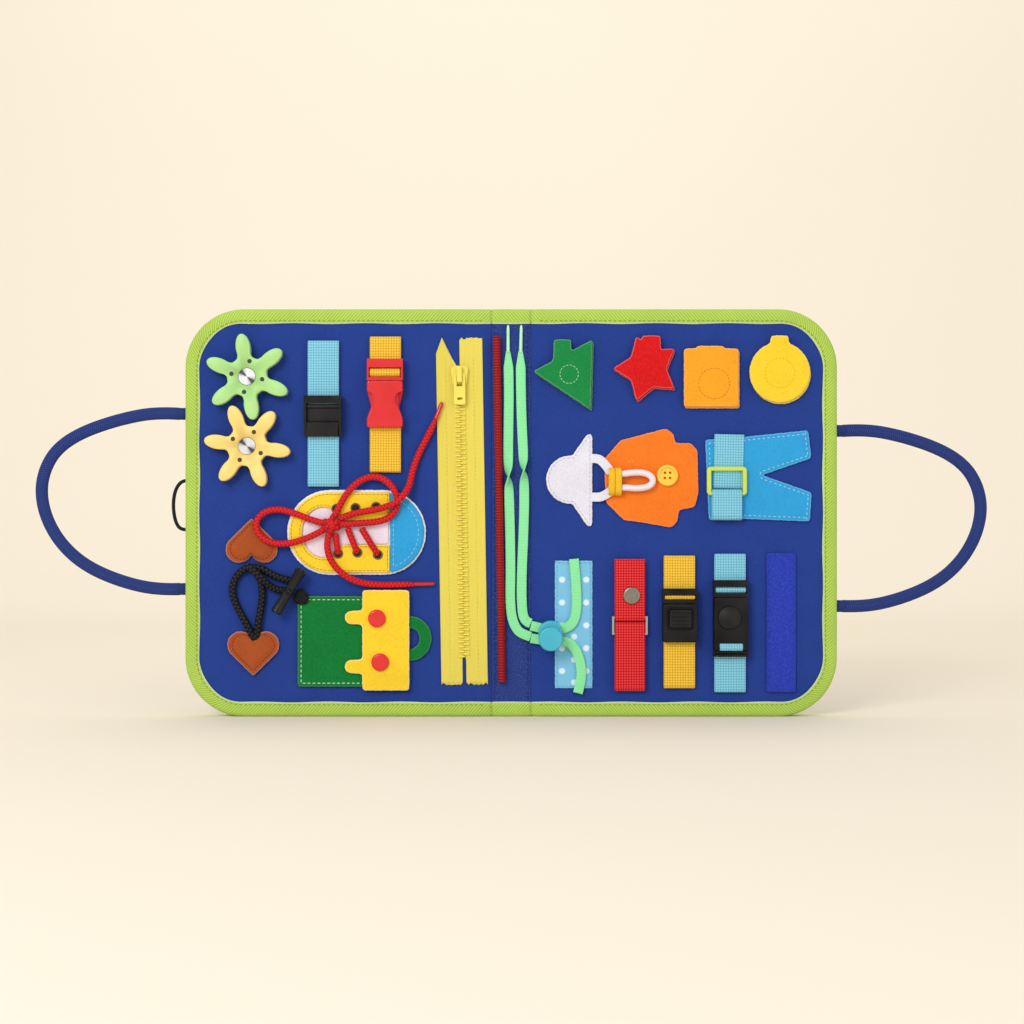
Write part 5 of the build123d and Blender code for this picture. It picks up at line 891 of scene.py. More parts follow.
class BOARD_OT_straps(bpy.types.Operator):
    """Webbing straps of both halves"""
    bl_idname = "board.straps"
    bl_label = "Webbing straps"

    def fold(self, x, low, high, base, rise, width=18.6):
        """Webbing where it turns over a bar in a window: a hump, height = base + rise * sin(pi * u) ^ 0.6."""
        u = np.linspace(0, 1, 14)
        path = spots(np.stack([np.full(14, x), low + (high - low) * u,
                               base + rise * np.sin(np.pi * u) ** 0.6], axis=1))
        return strap_run(Surface(), path, width, 0.8)

    def execute(self, context):
        c, pitch = context.scene.board_colours, context.scene.board_sizes.weave / MM
        blue = webbing("blue webbing", c.web_blue, pitch)
        yellow = webbing("yellow webbing", c.web_yellow, pitch)
        red = webbing("red webbing", c.web_red, pitch)
        strap_loop(Surface(), -115, 19, 141, 230.5, 0, 1.4).build("cam_strap", blue, "left_half",
                                                                  ("left_webbing",),
                                                                 "blue_webbing")
        pair = strap_loop(Surface(), -77, 19, 209.1, 233, 0, 1.4)
        strap_loop(pair, -77, 19, 149.6, 181.9, 0, 1.4).build("clip_strap", yellow, "left_half",
                                                              ("left_webbing",),
                                                             "yellow_webbing")
        pair = strap_loop(Surface(), 103, 19, 17.5, 50.9, 0, 1.4)
        strap_loop(pair, 103, 19, 73.1, 98.9, 0, 1.4).build("press_strap", yellow, "right_half",
                                                            ("right_webbing",),
                                                           "yellow_webbing")
        pair = strap_loop(Surface(), 134, 19, 15, 45.9, 0, 1.4)
        strap_loop(pair, 134, 19, 77.1, 100, 0, 1.4).build("round_strap", blue, "right_half",
                                                           ("right_webbing",),
                                                          "blue_webbing")
        for name, body, x, low, high, cloth, slot in (
                ("clip_fold", "clip_plug", -77.0, 207.9, 213.6, yellow, "yellow_webbing"),
                ("press_fold", "press_plug", 103.0, 71.9, 74.9, yellow, "yellow_webbing"),
                ("round_fold", "round_plug", 134.0, 75.9, 80.0, blue, "blue_webbing")):
            self.fold(x, low, high, 3.9, 2.7).build(name, cloth, body, slot=slot)
        self.fold(134.0, 41.2, 45.4, 7.9, 1.4, 14.0).build("round_foot_fold", blue, "right_half",
                                                           slot="blue_webbing")
        belt = strap_loop(Surface(), 131.8, 18.2, 120.5, 139.4, 2, 3.0)
        tail = spots([(132.8 + 0.8 * u, 139.7 + 33.3 * u, 2.6) for u in np.linspace(0, 1, 16)])
        strap_run(belt, tail, 18.2).build("belt_strap", blue, "right_half", ("right_webbing",),
                                          "blue_webbing")
        snap = strap_loop(Surface(), 72.6, 18.4, 15.8, 58.2, 0, 3.2)
        base = lay([(72.6, z) for z in np.linspace(63.7, 96.7, 16)], 0.55)
        strap_run(snap, base, 18.4).build("snap_strap", red, "right_half", ("right_webbing",), "red_webbing")
        a = np.radians(np.linspace(200, 360, 16))
        hook = [(72.6, 61 + 1.85 * np.sin(v), 2.7 + 1.85 * np.cos(v)) for v in a]
        flat = [(72.6, z, 4.55) for z in np.linspace(62, 96.7, 18)]
        strap_run(Surface(), spots(hook + flat), 18.4).build("snap_flap_strap", red, "snap_flap",
                                                             ("snap_flap",),
                                                            "red_webbing")
        return {"FINISHED"}


class BOARD_OT_buckles(bpy.types.Operator):
    """Finishes of the buckles, clips, snaps, rings and toggle, and the round clip's lower bars"""
    bl_idname = "board.buckles"
    bl_label = "Buckles and clips"

    def execute(self, context):
        c = context.scene.board_colours
        bars = Surface()
        for z in (38.0, 40.0):
            path = spots([(134.0 + u, z, 6.0) for u in np.linspace(-10.2, 10.2, 20)])
            size = np.sqrt(1 - np.linspace(-0.95, 0.95, 20) ** 8)
            bars.add(carried(path, bar_profile(4.4, 1.7, 0.7), AXIS_Z, size=size))
        for x in (123.9, 144.1):
            path = spots([(x, z, 6.0) for z in np.linspace(37.2, 42.0, 6)])
            bars.add(carried(path, bar_profile(4.2, 1.4, 0.5), AXIS_X))
        satin = plastic("black satin", c.black, 0.38, 0.08, 0.0, 0.16)
        bars.build("round_clip_bars", satin, "right_half", slot="black_plastic")
        dress(satin, "press_socket", "press_plug", "round_socket", "round_plug")
        dress(plastic("black grain", tuple(v * 1.5 for v in c.black), 0.45, 0.35, 0.0, 0.2), "press_button",
              "round_button")
        dress(plastic("black gloss", c.black, 0.2, 0.03, 0.15, 0.2), "cam_frame", "toggle_bar")
        dress(plastic("black lever", tuple(v * 1.6 for v in c.black), 0.25, 0.05, 0.15, 0.2), "cam_lever")
        dress(plastic("buckle red", c.buckle_red, 0.25, 0.03, 0.3), "clip_socket", "clip_plug")
        dress(plastic("snap red", c.snap, 0.22, 0.03, 0.4), "bag_snaps")
        dress(plastic("ring lime", c.ring, 0.35, 0.05), "belt_ring")
        dress(plastic("lock turquoise", c.lock, 0.33, 0.05, 0.2), "cord_lock_body", "cord_lock_button")
        dress(metal("dark nickel", c.nickel, 0.22), "snap_cap")
        dress(metal("ring steel", srgb(190, 186, 182), 0.2), "snap_ring_and_stud")
        return {"FINISHED"}


class BOARD_OT_zipper(bpy.types.Operator):
    """Zipper tapes, teeth and the finish of the slider"""
    bl_idname = "board.zipper"
    bl_label = "Zipper"

    LOW, TOP, TEETH_LOW = 19.3, 232.6, 37.0

    def middle(self, z):
        """X of the zipper's middle line at a height."""
        return -32.0 + (self.TOP - z) / (self.TOP - self.LOW) * 3.5

    def tape(self, inner, outer, top):
        """A flat tube of tape: rows climb from a pinked lower edge to a shaped upper edge, each across the
        front and back behind; z = low(x) + v * (top(x) - low(x)), low with zigzag points 2 mm deep. Below
        the teeth the inner edge stands back from the middle line."""
        o, v = np.linspace(inner, outer, 46), np.linspace(0, 1, 120)
        zig = 2.0 * np.abs((o / 3.2) % 1.0 * 2 - 1)
        low, high = self.LOW + zig, top(o, zig)
        z = low + v[:, None] * (high - low)
        part = 1.0 / (1 + np.exp((z - self.TEETH_LOW) / 0.8)) * np.sign(outer)
        x = self.middle(z) + o + part * (outer - o) / (outer - inner)
        wave = 0.12 * np.sin(z / 9.0 + o / 5.0) ** 2
        front = np.stack([x, FRONT - 0.9 - wave, z], axis=-1)
        back = np.stack([x, np.full(z.shape, FRONT), z], axis=-1)
        rows = np.concatenate([front, back[:, ::-1]], axis=1)
        across = np.concatenate([np.abs(o), np.abs(o[::-1]), np.abs(o[:1])])
        return Surface().add(rows, v * (self.TOP - self.LOW), across)

    def execute(self, context):
        c, sizes = context.scene.board_colours, context.scene.board_sizes
        cloth = webbing("zipper tape", c.zipper, 0.8, 0.86)
        fold_x, fold_z = [-14.25, -10.5, -4.0, -0.15], [222.6, 232.6, 216.0, 214.0]
        left = self.tape(-0.15, -14.25, lambda o, zig: np.interp(o, fold_x, fold_z))
        left.build("zip_tape_left", cloth, "left_half", ("zip_tapes",), "zip_tape")
        right = self.tape(0.15, 14.25, lambda o, zig: self.TOP - zig)
        right.build("zip_tape_right", cloth, "left_half", ("zip_tapes",), "zip_tape")
        teeth, pitch = Surface(), sizes.tooth_pitch / MM
        for side, shift in ((-1, 0.0), (1, 0.5)):
            z = np.arange(self.TEETH_LOW + shift * pitch, 214.0, pitch)
            centre = np.stack([self.middle(z) + side * 0.95, np.full(len(z), FRONT - 1.6), z], axis=1)
            capsules(teeth, centre, np.tile(AXIS_X, (len(z), 1)), np.tile(OUT, (len(z), 1)), 3.0, 0.62, 0.6)
            bead = centre + [side * 1.7, 0, 0]
            capsules(teeth, bead, np.tile(AXIS_X, (len(z), 1)), np.tile(OUT, (len(z), 1)), 1.4, 0.85, 0.7)
        teeth.build("zip_teeth", plastic("zipper teeth", c.zipper, 0.45, 0.05), "left_half", ("zip_tapes",),
                    "zip_tape")
        rows = Surface()
        for side in (-1, 1):
            z = np.array([24.0, 220.0])
            path = np.stack([self.middle(z) + side * 8.6, np.full(2, FRONT - 0.95), z], axis=1)
            sew(rows, spaced(path, 2.0), sizes, pitch=2.6, length=1.8)
        rows.build("zip_stitches", felt("zip thread", tuple(v * 0.86 for v in c.zipper)), "left_half")
        dress(plastic("zip enamel", c.zipper, 0.25, 0.03, 0.4), "zip_slider", "zip_pull")
        return {"FINISHED"}


class BOARD_OT_shoe(bpy.types.Operator):
    """Felt shoe with its eyelets, laces and bow"""
    bl_idname = "board.shoe"
    bl_label = "Shoe"

    LEFT_END, RIGHT_END, Z, TOE_X = -111.3, -78.2, 113.0, -74.0

    def execute(self, context):
        c, sizes = context.scene.board_colours, context.scene.board_sizes
        z = self.Z
        pill = np.concatenate([arc(self.RIGHT_END, z, 26, -90, 90), arc(self.LEFT_END, z, 26, 90, 270)])
        white = felt("shoe white", srgb(247, 246, 250))
        felt_patch("shoe_rim", pill, 0, 2, white, "left_half", ("shoe_backing",), "white_felt",
                   ["left_cover"])
        oval = np.radians(np.linspace(-28.9, -331.1, 50))
        slot = np.stack([-115 + 13 * np.cos(oval), z + 15.5 * np.sin(oval)], axis=1)
        tongue = np.concatenate([slot[::-1] + [0.6, 0],
                                 [(self.TOE_X - 1, z + 7), (self.TOE_X - 1, z - 7)][::-1]])
        felt_slab(tongue, 1.9, 0.8).build("shoe_tongue", felt("tongue felt", c.tongue), "left_half")
        upper = np.concatenate([[(self.TOE_X - 0.3, z + 24.6)], arc(self.LEFT_END, z, 24.6, 90, 270, 40),
                                [(self.TOE_X - 0.3, z - 24.6), (self.TOE_X - 0.3, z - 7.5)], slot,
                                [(self.TOE_X - 0.3, z + 7.5)]])
        yellow = felt("yellow felt", c.yellow, rim=0.2)
        felt_patch("shoe_upper_felt", upper, 2, 2, yellow, "left_half", ("shoe_upper",), "yellow_felt",
                   ["shoe_rim"], soft=1)
        reach = np.degrees(np.arccos((self.TOE_X - self.RIGHT_END) / 24.9))
        toe = arc(self.RIGHT_END, z, 24.9, -reach, reach, 40)
        felt_patch("toe_cap_felt", toe, 2, 2, felt("toe blue", c.sky), "left_half", ("shoe_toe_cap",),
                   "blue_felt", ["shoe_rim"], soft=1)
        # Painted shade: a dark ball inside each eyelet ring stands for the shade in the hole.
        rings, holes = Surface(), Surface()
        for x, up in EYELETS:
            ring_of(rings, x, up, 4.0, 2.6, 0.55)
            ball(holes, x, up, 3.3, 2.3, 0.0)
        rings.build("eyelet_rings", plastic("eyelet brown", srgb(120, 84, 40), 0.4), "left_half")
        holes.build("eyelet_hole_shade", felt("eyelet hole shade", srgb(48, 34, 26), 0.05), "left_half")
        dashes = Surface()
        bend = arc(self.RIGHT_END, z, 21.6, -72, 72, 40)
        sew(dashes, lay(bend, 4.05), sizes)
        sew(dashes, lay([(self.TOE_X + 2, z - 21), (self.TOE_X + 2, z + 21)], 4.05), sizes)
        dashes.build("toe_stitches", felt("toe thread", srgb(150, 205, 235), 0.1), "left_half")
        edge = Surface()
        sew_edge(edge, upper, 1.3, 4.0, sizes, soft=1, pitch=2.4, length=1.9)
        edge.build("upper_stitches", felt("upper thread", srgb(200, 150, 30)), "left_half")
        self.laces(c)
        return {"FINISHED"}

    def laces(self, c):
        """Bow, free ends with tips, knot and the strands down to the eyelets."""
        red = braid("red lace", c.lace_red, 2.4, 3.0, 0.42)
        gloss = plastic("lace tip", c.lace_red, 0.25, 0.03, 0.4)
        for name, route in (("lace_left_bow", LEFT_BOW), ("lace_upper_bow", UPPER_BOW)):
            round_cord(name, spots(route), 4.0, red, "left_half", ("shoe_lace",), "red_cord")
        for name, route, end in (("lace_upper_end", UPPER_END, UPPER_TIP),
                                 ("lace_lower_end", LOWER_END, LOWER_TIP)):
            tip = tip_on(f"{name}_tip", spaced(spots([route[-1], end]), 0.6), gloss, "left_half", 2.6)
            line = spaced(nurbs_line(spots(route)), 0.8)
            run = lengths(line)
            size = np.interp(run[-1] - run, [0, 7], [0.62, 1.0])
            free_cord(name, line, round_profile(2.0, 14), 4.0, red, "left_half", ("shoe_lace",), "red_cord",
                      "fitting", size=size, tips=(tip,))
        knot = ball(Surface(), *LACE_KNOT, 4.2)
        x, z, height = LACE_KNOT
        t = np.linspace(-1, 1, 20)
        for turn in np.radians([25.0, 85.0, 150.0]):
            wrap = spots(np.stack([x + 4.6 * t * np.cos(turn), z + 4.6 * t * np.sin(turn),
                                   height + 3.4 * np.sqrt(1.02 - t * t)], axis=1))
            knot.add(carried(wrap, round_profile(1.7, 12), AXIS_Z), lengths(wrap), np.linspace(0, 1, 13))
        knot.build("lace_knot", red, "left_half", ("shoe_lace",), "red_cord")
        strands = Surface()
        for (x, up), (hole_x, hole_z) in STRANDS:
            path = spots([(x, up, 5.2), (0.6 * x + 0.4 * hole_x, 0.6 * up + 0.4 * hole_z, 5.9),
                          (0.15 * x + 0.85 * hole_x, 0.15 * up + 0.85 * hole_z, 5.2), (hole_x, hole_z, 3.2)])
            line = spaced(nurbs_line(path), 0.7)
            strands.add(carried(line, round_profile(1.95, 12), AXIS_X), lengths(line), np.linspace(0, 1, 13))
        strands.build("lace_strands", red, "left_half", ("shoe_lace",), "red_cord")


class BOARD_OT_hearts(bpy.types.Operator):
    """Felt hearts with the black cords of the toggle"""
    bl_idname = "board.hearts"
    bl_label = "Hearts and toggle cords"

    def outline(self, x, z, turn):
        """A heart on its foot: a straight side up to a round lobe, round it to the notch, and the same
        mirrored."""
        lobe_x, lobe_z, r = 16.0 - 8.3, 27.5 - 8.3, 8.3
        reach = np.hypot(lobe_x, lobe_z)
        lean = np.degrees(np.arctan2(lobe_z, lobe_x) - np.arcsin(r / reach))
        notch = np.degrees(np.arctan2(np.sqrt(r * r - lobe_x * lobe_x), -lobe_x))
        right = np.concatenate([[(0.0, 0.0)], arc(lobe_x, lobe_z, r, lean - 90, notch, 30)])
        line = np.concatenate([right, right[:0:-1] * [-1, 1]])
        a = np.radians(turn)
        return line @ np.array([[np.cos(a), np.sin(a)], [-np.sin(a), np.cos(a)]]) + [x, z]

    def execute(self, context):
        c, sizes = context.scene.board_colours, context.scene.board_sizes
        brown = felt("brown felt", c.brown, 0.03, 0.2)
        seams = Surface()
        for name, x, z, turn in (("upper_heart", -159.0, 121.8, 180.0), ("lower_heart", -158.0, 25.0, 0.0)):
            line = self.outline(x, z, turn)
            felt_patch(name, line, 0, 2.4, brown, "left_half", ("heart_patches",), "brown_felt",
                       ["left_cover"], seam=(2.6, 0.5), soft=1)
            groove = closed(drawn_in(cut_line(line, 1.0, 1), 2.6))
            sew(seams, lay(groove, 2.0), sizes, pitch=2.4, length=1.7)
        seams.build("heart_seams", felt("brown thread", tuple(v * 0.45 for v in c.brown)), "left_half")
        black = braid("black cord", c.black, 2.6, 3.0, 0.5)
        for name, route in (("toggle_outer_cord", OUTER_CORD), ("toggle_inner_cord", INNER_CORD),
                            ("toggle_cross_cord", CROSS_CORD)):
            round_cord(name, spots(route), 4.4, black, "left_half", ("toggle_cords",), "black_cord")
        ends = ball(Surface(), *TOGGLE_KNOT, 4.6, 0.16, 0.33)
        stem = spots([(-135.4, 77.3, h) for h in np.linspace(2.5, 11.7, 12)])
        ends.add(carried(stem, round_profile(1.5, 10), AXIS_X), lengths(stem), np.linspace(0, 1, 11))
        ends.build("toggle_knot", black, "left_half", ("toggle_cords",), "black_cord")
        return {"FINISHED"}


class BOARD_OT_bag(bpy.types.Operator):
    """Felt bag with its grip and snap flap"""
    bl_idname = "board.bag"
    bl_label = "Bag"

    def execute(self, context):
        c, sizes = context.scene.board_colours, context.scene.board_sizes
        green = felt("bag felt", c.bag, rim=0.08)
        pocket = [(-130.8, 18.5), (-62.0, 18.5), (-62.0, 74.0), (-130.8, 74.0)]
        felt_patch("bag_pouch", pocket, 0, 2.5, green, "left_half", ("bag_pocket",), "green_felt",
                   ["left_cover"])
        grip = np.concatenate([arc(-62.6, 48, 13.9, -90, 90), arc(-62.6, 48, 6.6, 90, -90)])
        felt_patch("bag_grip", grip, 0, 2.5, green, "left_half", ("bag_pocket",), "green_felt",
                   ["left_cover"])
        dashes = Surface()
        seam = [(-62, 20.7), (-128.6, 20.7), (-128.6, 71.8), (-62, 71.8)]
        sew(dashes, lay(spaced(np.array(seam), 1.0), 2.5), sizes)
        dashes.build("bag_stitches", felt("white thread", srgb(225, 230, 222), 0.1), "left_half")
        tabs = [np.concatenate([[(-91.0, up + 4.2)], arc(-97.8, up, 4.2, 90, 270, 14), [(-91.0, up - 4.2)]])
                for up in (61.0, 31.0)]
        flap = np.concatenate([[(-62.3, 16.4), (-62.3, 77.8), (-91.0, 77.8)], *tabs, [(-91.0, 16.4)]])
        felt_patch("bag_cover", flap, 2.8, 2.0, felt("flap felt", c.yellow, rim=0.35), "bag_flap",
                   ("bag_flap",), "yellow_felt", ["bag_pouch"], soft=3)
        return {"FINISHED"}


class BOARD_OT_spine(bpy.types.Operator):
    """Red corded strip and mint laces of the spine"""
    bl_idname = "board.spine"
    bl_label = "Spine strip and laces"

    def lace(self, name, route, keep, twist, nodes, body, far_end, flip=False, **more):
        """Flat lace: a 6 by 1 mm bar carried along its spline, half a turn about it at the twist, narrower
        at its end. It is cut where the spline crosses the fold."""
        line = spaced(nurbs_line(spots(route)), 0.8)
        kept = keep(line[:, 0])
        last = int(np.flatnonzero(kept[1:] != kept[:-1])[0])
        a, b = line[last], line[last + 1]
        meet = a + (b - a) * (FOLD - a[0]) / (b[0] - a[0])
        line = np.concatenate([line[kept], [meet]]) if kept[0] else np.concatenate([[meet], line[kept]])
        line = line[::-1] if flip else line
        s = lengths(line)
        turn = np.zeros(len(s))
        if twist is not None:
            turn = np.pi / (1 + np.exp(-(s - twist) / 4.0))
            line = line + OUT * (2.2 * np.sin(turn) ** 2)[:, None]
        size = np.interp(s[-1] - s, [0, 10], [0.45, 1.0]) if far_end == "fitting" else None
        return free_cord(name, line, bar_profile(6.0, 1.0, 0.42, 3), 3.8, self.mint, body, nodes,
                         "mint_cord", far_end, turn=turn, size=size, **more)

    def execute(self, context):
        c = context.scene.board_colours
        self.mint = webbing("mint lace", c.lace_mint, 0.9, 0.82)
        line = spaced(spots([(-5.6, 21.4, 2.4), (-8.9, 232.9, 2.4)]), 0.35)
        s = lengths(line)
        size = 0.93 + 0.07 * np.abs(np.sin(np.pi * s / 1.7))
        coil = Surface().add(carried(line, round_profile(2.4, 16), AXIS_Y, size=size), s,
                             np.linspace(0, 1, 17))
        deep = braid("coil red", tuple(v * 0.5 for v in c.lace_red), 1.7, 0.5, 0.45)
        coil.build("spine_strip", deep, "spine", ("spine_cord",), "red_cord")
        clear = plastic("lace ends", pale(c.lace_mint, 0.3)[:3], 0.25, 0.03, 0.4)
        for name, route, tip_x, twist in (("mint_left", MINT_LEFT, -1.9, 104.0),
                                          ("mint_right", MINT_RIGHT, 6.2, 96.0)):
            top = route[0]
            end = spaced(spots([(top[0], top[1] - 1, 1.4), (tip_x, 240, 1.4)]), 0.6)
            tip = tip_on(f"{name}_tip", end, clear, "spine", 2.2)
            self.lace(name, route, lambda x: x <= FOLD, twist, ("mint_laces",), "spine", "fitting", flip=True,
                      tips=(tip,))
        for name, route in (("mint_upper_tail", UPPER_TAIL), ("mint_lower_tail", LOWER_TAIL)):
            self.lace(name, route, lambda x: x >= FOLD, None, ("lace_tails",), "right_half", "bare")
        return {"FINISHED"}


class BOARD_OT_shapes(bpy.types.Operator):
    """Four felt shape games: sewn bases and lift-off patches"""
    bl_idname = "board.shapes"
    bl_label = "Shape games"

    SLIP = np.array([0.9, -0.9])

    def tabbed(self, outline, x, width, top):
        """An outline with a square pull tab let into its upper edge."""
        line = cut_line(outline, 0.6, 0)
        high = line[:, 1] > line[:, 1].mean()
        under = high & (np.abs(line[:, 0] - x) < width / 2)
        start = int(np.flatnonzero(under & ~np.roll(under, 1))[0])
        line, under = np.roll(line, -start, 0), np.roll(under, -start)
        tab = np.array([(x + width / 2, top), (x - width / 2, top)])
        return np.concatenate([tab, line[~under]])

    def execute(self, context):
        c, sizes = context.scene.board_colours, context.scene.board_sizes
        a = np.radians(36 + 36 * np.arange(10))
        r = np.tile([21.0, 12.0], 5)
        star = np.stack([82.9 + r * np.cos(a), 213.2 + r * np.sin(a)], axis=1)
        w, h = 16.7, 17.8
        square = [(122.3 - w, 207.7 - h), (122.3 + w, 207.7 - h), (122.3 + w, 207.7 + h),
                  (122.3 - w, 207.7 + h)]
        disc = arc(164.2, 211.0, 18.5, 0, 354, 60)
        games = (("triangle", np.array(TRIANGLE), (31.4, 10.6, 231.0), c.green, "shape_green",
                  (35.4, 209.7, 5.6), srgb(190, 215, 190)),
                 ("star", star, (85.6, 11.4, 233.4), c.red, "red_felt", (82.9, 213.0, 7.5),
                  srgb(190, 20, 24)),
                 ("square", np.array(square), (121.6, 16.5, 227.1), c.orange, "orange_felt",
                  (124.0, 204.0, 9.4), srgb(196, 120, 40)),
                 ("circle", disc, (164.2, 10.6, 233.4), c.yellow, "yellow_felt", (164.2, 210.5, 9.0),
                  srgb(226, 180, 50)))
        for name, line, (x, width, top), colour, slot, (mid_x, mid_z, radius), thread in games:
            cloth = felt(f"{name} felt", colour, rim=0.14)
            felt_patch(f"{name}_base_felt", line + self.SLIP, 0, 2.2, cloth, "right_half", ("shape_bases",),
                       slot, ["right_cover"], soft=1)
            felt_patch(f"{name}_top_felt", self.tabbed(line, x, width, top), 2.5, 2.2, cloth, f"{name}_patch",
                       (f"{name}_patch",), slot, [f"{name}_base_felt"], soft=2)
            loop = Surface()
            sew(loop, lay(arc(mid_x, mid_z, radius, 0, 360, 60), 4.62), sizes, pitch=2.2, length=1.6)
            loop.build(f"{name}_thread", felt(f"{name} thread", thread), f"{name}_patch")
        return {"FINISHED"}


class BOARD_OT_clothes(bpy.types.Operator):
    """Felt hat, coat and trousers with their bands, keeper and button loop"""
    bl_idname = "board.clothes"
    bl_label = "Hat, coat and trousers"

    def execute(self, context):
        c, sizes = context.scene.board_colours, context.scene.board_sizes
        white = felt("white felt", c.white, 0.2, 0.5)
        crown = arc(36.2, 145.3, 14.75, 270, 90, 40)
        hat = np.concatenate([[(37.4, 160.0), (46.4, 172.8), (48.6, 173.6), (49.7, 171.4), (49.7, 118.6),
                               (48.6, 116.4), (46.4, 117.2), (37.4, 130.6)], crown])
        felt_patch("hat_felt", hat, 0, 2, white, "right_half", ("hat",), "white_felt", ["right_cover"],
                   soft=1)
        seams = Surface()
        sew_edge(seams, hat, 1.5, 2.0, sizes, soft=1, pitch=2.6, length=1.9)
        seams.build("hat_stitches", felt("hat thread", srgb(206, 202, 224)), "right_half")
        bands = Surface()
        for route in ([(47.6, 158.0, 1.1), (51.0, 158.6, 1.6), (56.0, 157.0, 3.6), (61.0, 149.6, 4.4)],
                      [(47.6, 134.8, 1.1), (51.0, 134.6, 1.6), (56.0, 134.6, 3.6), (61.0, 138.4, 4.4)]):
            path = spaced(nurbs_line(spots(route)), 0.7)
            bands.add(carried(path, bar_profile(5.6, 1.2, 0.5), AXIS_Y), lengths(path))
        bands.build("hat_bands", felt("band felt", c.white, 0.2), "right_half", ("hat",), "white_felt")
        felt_patch("coat_felt", COAT, 0, 2, felt("coat felt", c.coat, rim=0.14), "right_half", ("coat",),
                   "coat_felt", ["right_cover"], soft=1)
        u = np.radians(np.linspace(0, 180, 30))
        up = 144.05 + 7.85 * np.sign(np.cos(u)) * np.abs(np.cos(u)) ** 0.7
        arch = spots(np.stack([np.full(30, 63.4), up, 2.0 + 6.7 * np.sin(u) ** 0.55], axis=1))
        keeper = Surface()
        for aside in (-2.05, 2.05):
            keeper.add(carried(arch + AXIS_X * aside, bar_profile(1.6, 4.0, 0.75), AXIS_X), lengths(arch))
        keeper.build("loop_keeper_felt", felt("keeper felt", c.web_yellow), "right_half", ("loop_keeper",),
                     "yellow_felt")
        round_cord("button_loop", spots(BUTTON_LOOP), 4.0,
                   braid("white elastic", srgb(246, 232, 238), 1.5, 3.0,
                         0.7), "right_half", ("elastic_loop",), "white_elastic", stiffness="medium")
        felt_patch("trousers_felt", TROUSERS, 0, 2, felt("trouser felt", c.sky, rim=0.16), "right_half",
                   ("trousers",), "blue_felt", ["right_cover"], soft=2)
        dashes = Surface()
        sew_edge(dashes, TROUSERS, 2.2, 2.0, sizes, length=1.5)
        dashes.build("trouser_stitches", felt("trouser thread", srgb(178, 218, 242)), "right_half")
        mark = Surface()
        sew(mark, lay([(71.2, 156.3), (75.6, 156.8)], 2.05), sizes, pitch=2.0, length=1.8)
        mark.build("coat_mark", felt("coat thread", srgb(250, 205, 80)), "right_half")
        return {"FINISHED"}


class BOARD_OT_strips(bpy.types.Operator):
    """Dotted ribbon and hook-and-loop strip"""
    bl_idname = "board.strips"
    bl_label = "Ribbon and hook strip"

    def execute(self, context):
        c, sizes = context.scene.board_colours, context.scene.board_sizes
        ribbon = [(26.8, 17.5), (49.8, 17.5), (49.8, 95.6), (26.8, 95.6)]
        felt_patch("dot_ribbon", ribbon, 0, 0.8, dotted("dotted ribbon", c.ribbon), "right_half",
                   ("sewn_strips",), "dotted_ribbon", ["right_cover"], soft=0)
        strip = [(156.5, 15.0), (174.5, 15.0), (174.5, 100.3), (156.5, 100.3)]
        felt_patch("hook_strip", strip, 0, 1.8, hooks("hook pile", c.hook), "right_half", ("sewn_strips",),
                   "blue_felt", ["right_cover"], soft=1)
        dashes = Surface()
        sew_edge(dashes, ribbon, 1.3, 0.8, sizes, soft=0, pitch=2.6, length=1.9)
        dashes.build("ribbon_stitches", felt("ribbon thread", tuple(v * 0.8 for v in c.ribbon), 0.1),
                     "right_half")
        dashes = Surface()
        sew_edge(dashes, strip, 1.4, 1.8, sizes, soft=1, pitch=2.6, length=1.9)
        dashes.build("hook_stitches", felt("hook thread", tuple(v * 0.7 for v in c.hook), 0.1), "right_half")
        return {"FINISHED"}


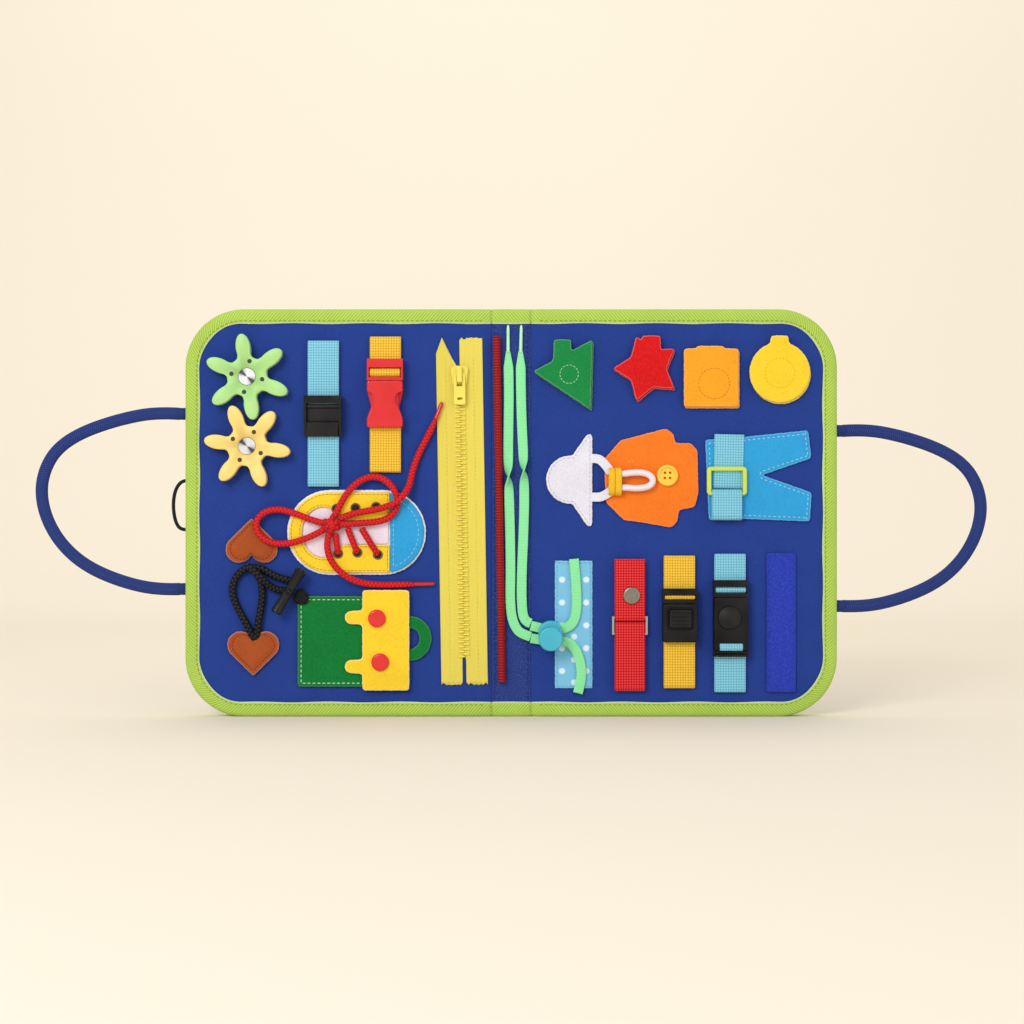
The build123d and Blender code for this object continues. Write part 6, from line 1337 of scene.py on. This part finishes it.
class BOARD_OT_stage(bpy.types.Operator):
    """Plain pale floor and wall, studio light and camera"""
    bl_idname = "board.stage"
    bl_label = "Stage"

    def execute(self, context):
        scene, c = context.scene, context.scene.board_colours
        u, v = np.meshgrid(np.linspace(-3, 3, 12), np.linspace(-2.5, 2.2, 60), indexing="ij")
        bend = np.clip(v - 1.0, 0, None)
        y = np.where(v < 1.0, v, 1.0 + 0.6 * np.tanh(bend / 0.6))
        points = np.stack([u, y, 1.6 * bend * bend / (bend + 0.25)], axis=-1)
        i, j = np.meshgrid(np.arange(11), np.arange(59), indexing="ij")
        corner = (i * 60 + j).reshape(-1, 1)
        faces = corner + [0, 60, 61, 1]
        mesh = bpy.data.meshes.new("backdrop")
        mesh.from_pydata(points.reshape(-1, 3).tolist(), [], faces.tolist())
        mesh.polygons.foreach_set("use_smooth", np.ones(len(faces), bool))
        mesh.materials.append(paint("backdrop paint", c.backdrop))
        floor = bpy.data.objects.new("backdrop", mesh)
        scene.collection.objects.link(floor)
        for name, place, target, size, power in (("key", (-0.7, -1.6, 0.9), (0, 0, 0.12), 0.7, 16.0),
                                                 ("fill", (1.2, -1.6, 0.5), (0, 0, 0.12), 1.4, 5.0),
                                                 ("wall", (0, 0.6, 1.9), (0, 1.7, 0.5), 2.0, 12.0)):
            light = bpy.data.lights.new(name, "AREA")
            light.size, light.energy = size, power
            lamp = bpy.data.objects.new(name, light)
            lamp.location = place
            aim = Vector(target) - Vector(place)
            lamp.rotation_mode = "QUATERNION"
            lamp.rotation_quaternion = aim.to_track_quat("-Z", "Y")
            scene.collection.objects.link(lamp)
        world = bpy.data.worlds.new("studio")
        world.use_nodes = True
        world.node_tree.nodes["Background"].inputs["Color"].default_value = (1.0, 0.99, 0.97, 1.0)
        world.node_tree.nodes["Background"].inputs["Strength"].default_value = 0.58
        scene.world = world
        lens = bpy.data.cameras.new("camera")
        lens.lens, lens.sensor_width = scene.board_sizes.lens, 36.0
        camera = bpy.data.objects.new("camera", lens)
        camera.location = (0.0005, -1.105, 0.1255)
        camera.rotation_euler = (np.radians(90.0), 0.0, 0.0)
        scene.collection.objects.link(camera)
        scene.camera = camera
        scene.view_settings.view_transform = "Standard"
        return {"FINISHED"}


class BOARD_PT_panel(bpy.types.Panel):
    """Build steps of the board"""
    bl_idname = "BOARD_PT_panel"
    bl_label = "Busy Board"
    bl_space_type = "VIEW_3D"
    bl_region_type = "UI"
    bl_category = "Busy Board"

    def draw(self, context):
        for step in STEPS:
            self.layout.operator(step.bl_idname, text=step.bl_label)
        for group in (context.scene.board_colours, context.scene.board_sizes):
            for key in group.__annotations__:
                self.layout.prop(group, key)


STEPS = (BOARD_OT_covers, BOARD_OT_binding, BOARD_OT_handles, BOARD_OT_gears, BOARD_OT_straps,
         BOARD_OT_buckles, BOARD_OT_zipper, BOARD_OT_shoe, BOARD_OT_hearts, BOARD_OT_bag, BOARD_OT_spine,
         BOARD_OT_shapes, BOARD_OT_clothes, BOARD_OT_strips, BOARD_OT_stage)
CLASSES = (BoardColours, BoardSizes, *STEPS, BOARD_PT_panel)


def register():
    for item in CLASSES:
        bpy.utils.register_class(item)
    bpy.types.Scene.board_colours = bpy.props.PointerProperty(type=BoardColours)
    bpy.types.Scene.board_sizes = bpy.props.PointerProperty(type=BoardSizes)


def unregister():
    del bpy.types.Scene.board_colours
    del bpy.types.Scene.board_sizes
    for item in reversed(CLASSES):
        bpy.utils.unregister_class(item)


def main():
    register()
    bpy.ops.board.covers()
    bpy.ops.board.binding()
    bpy.ops.board.handles()
    bpy.ops.board.gears()
    bpy.ops.board.straps()
    bpy.ops.board.buckles()
    bpy.ops.board.zipper()
    bpy.ops.board.shoe()
    bpy.ops.board.hearts()
    bpy.ops.board.bag()
    bpy.ops.board.spine()
    bpy.ops.board.shapes()
    bpy.ops.board.clothes()
    bpy.ops.board.strips()
    bpy.ops.board.stage()


if __name__ == "__main__":
    main()
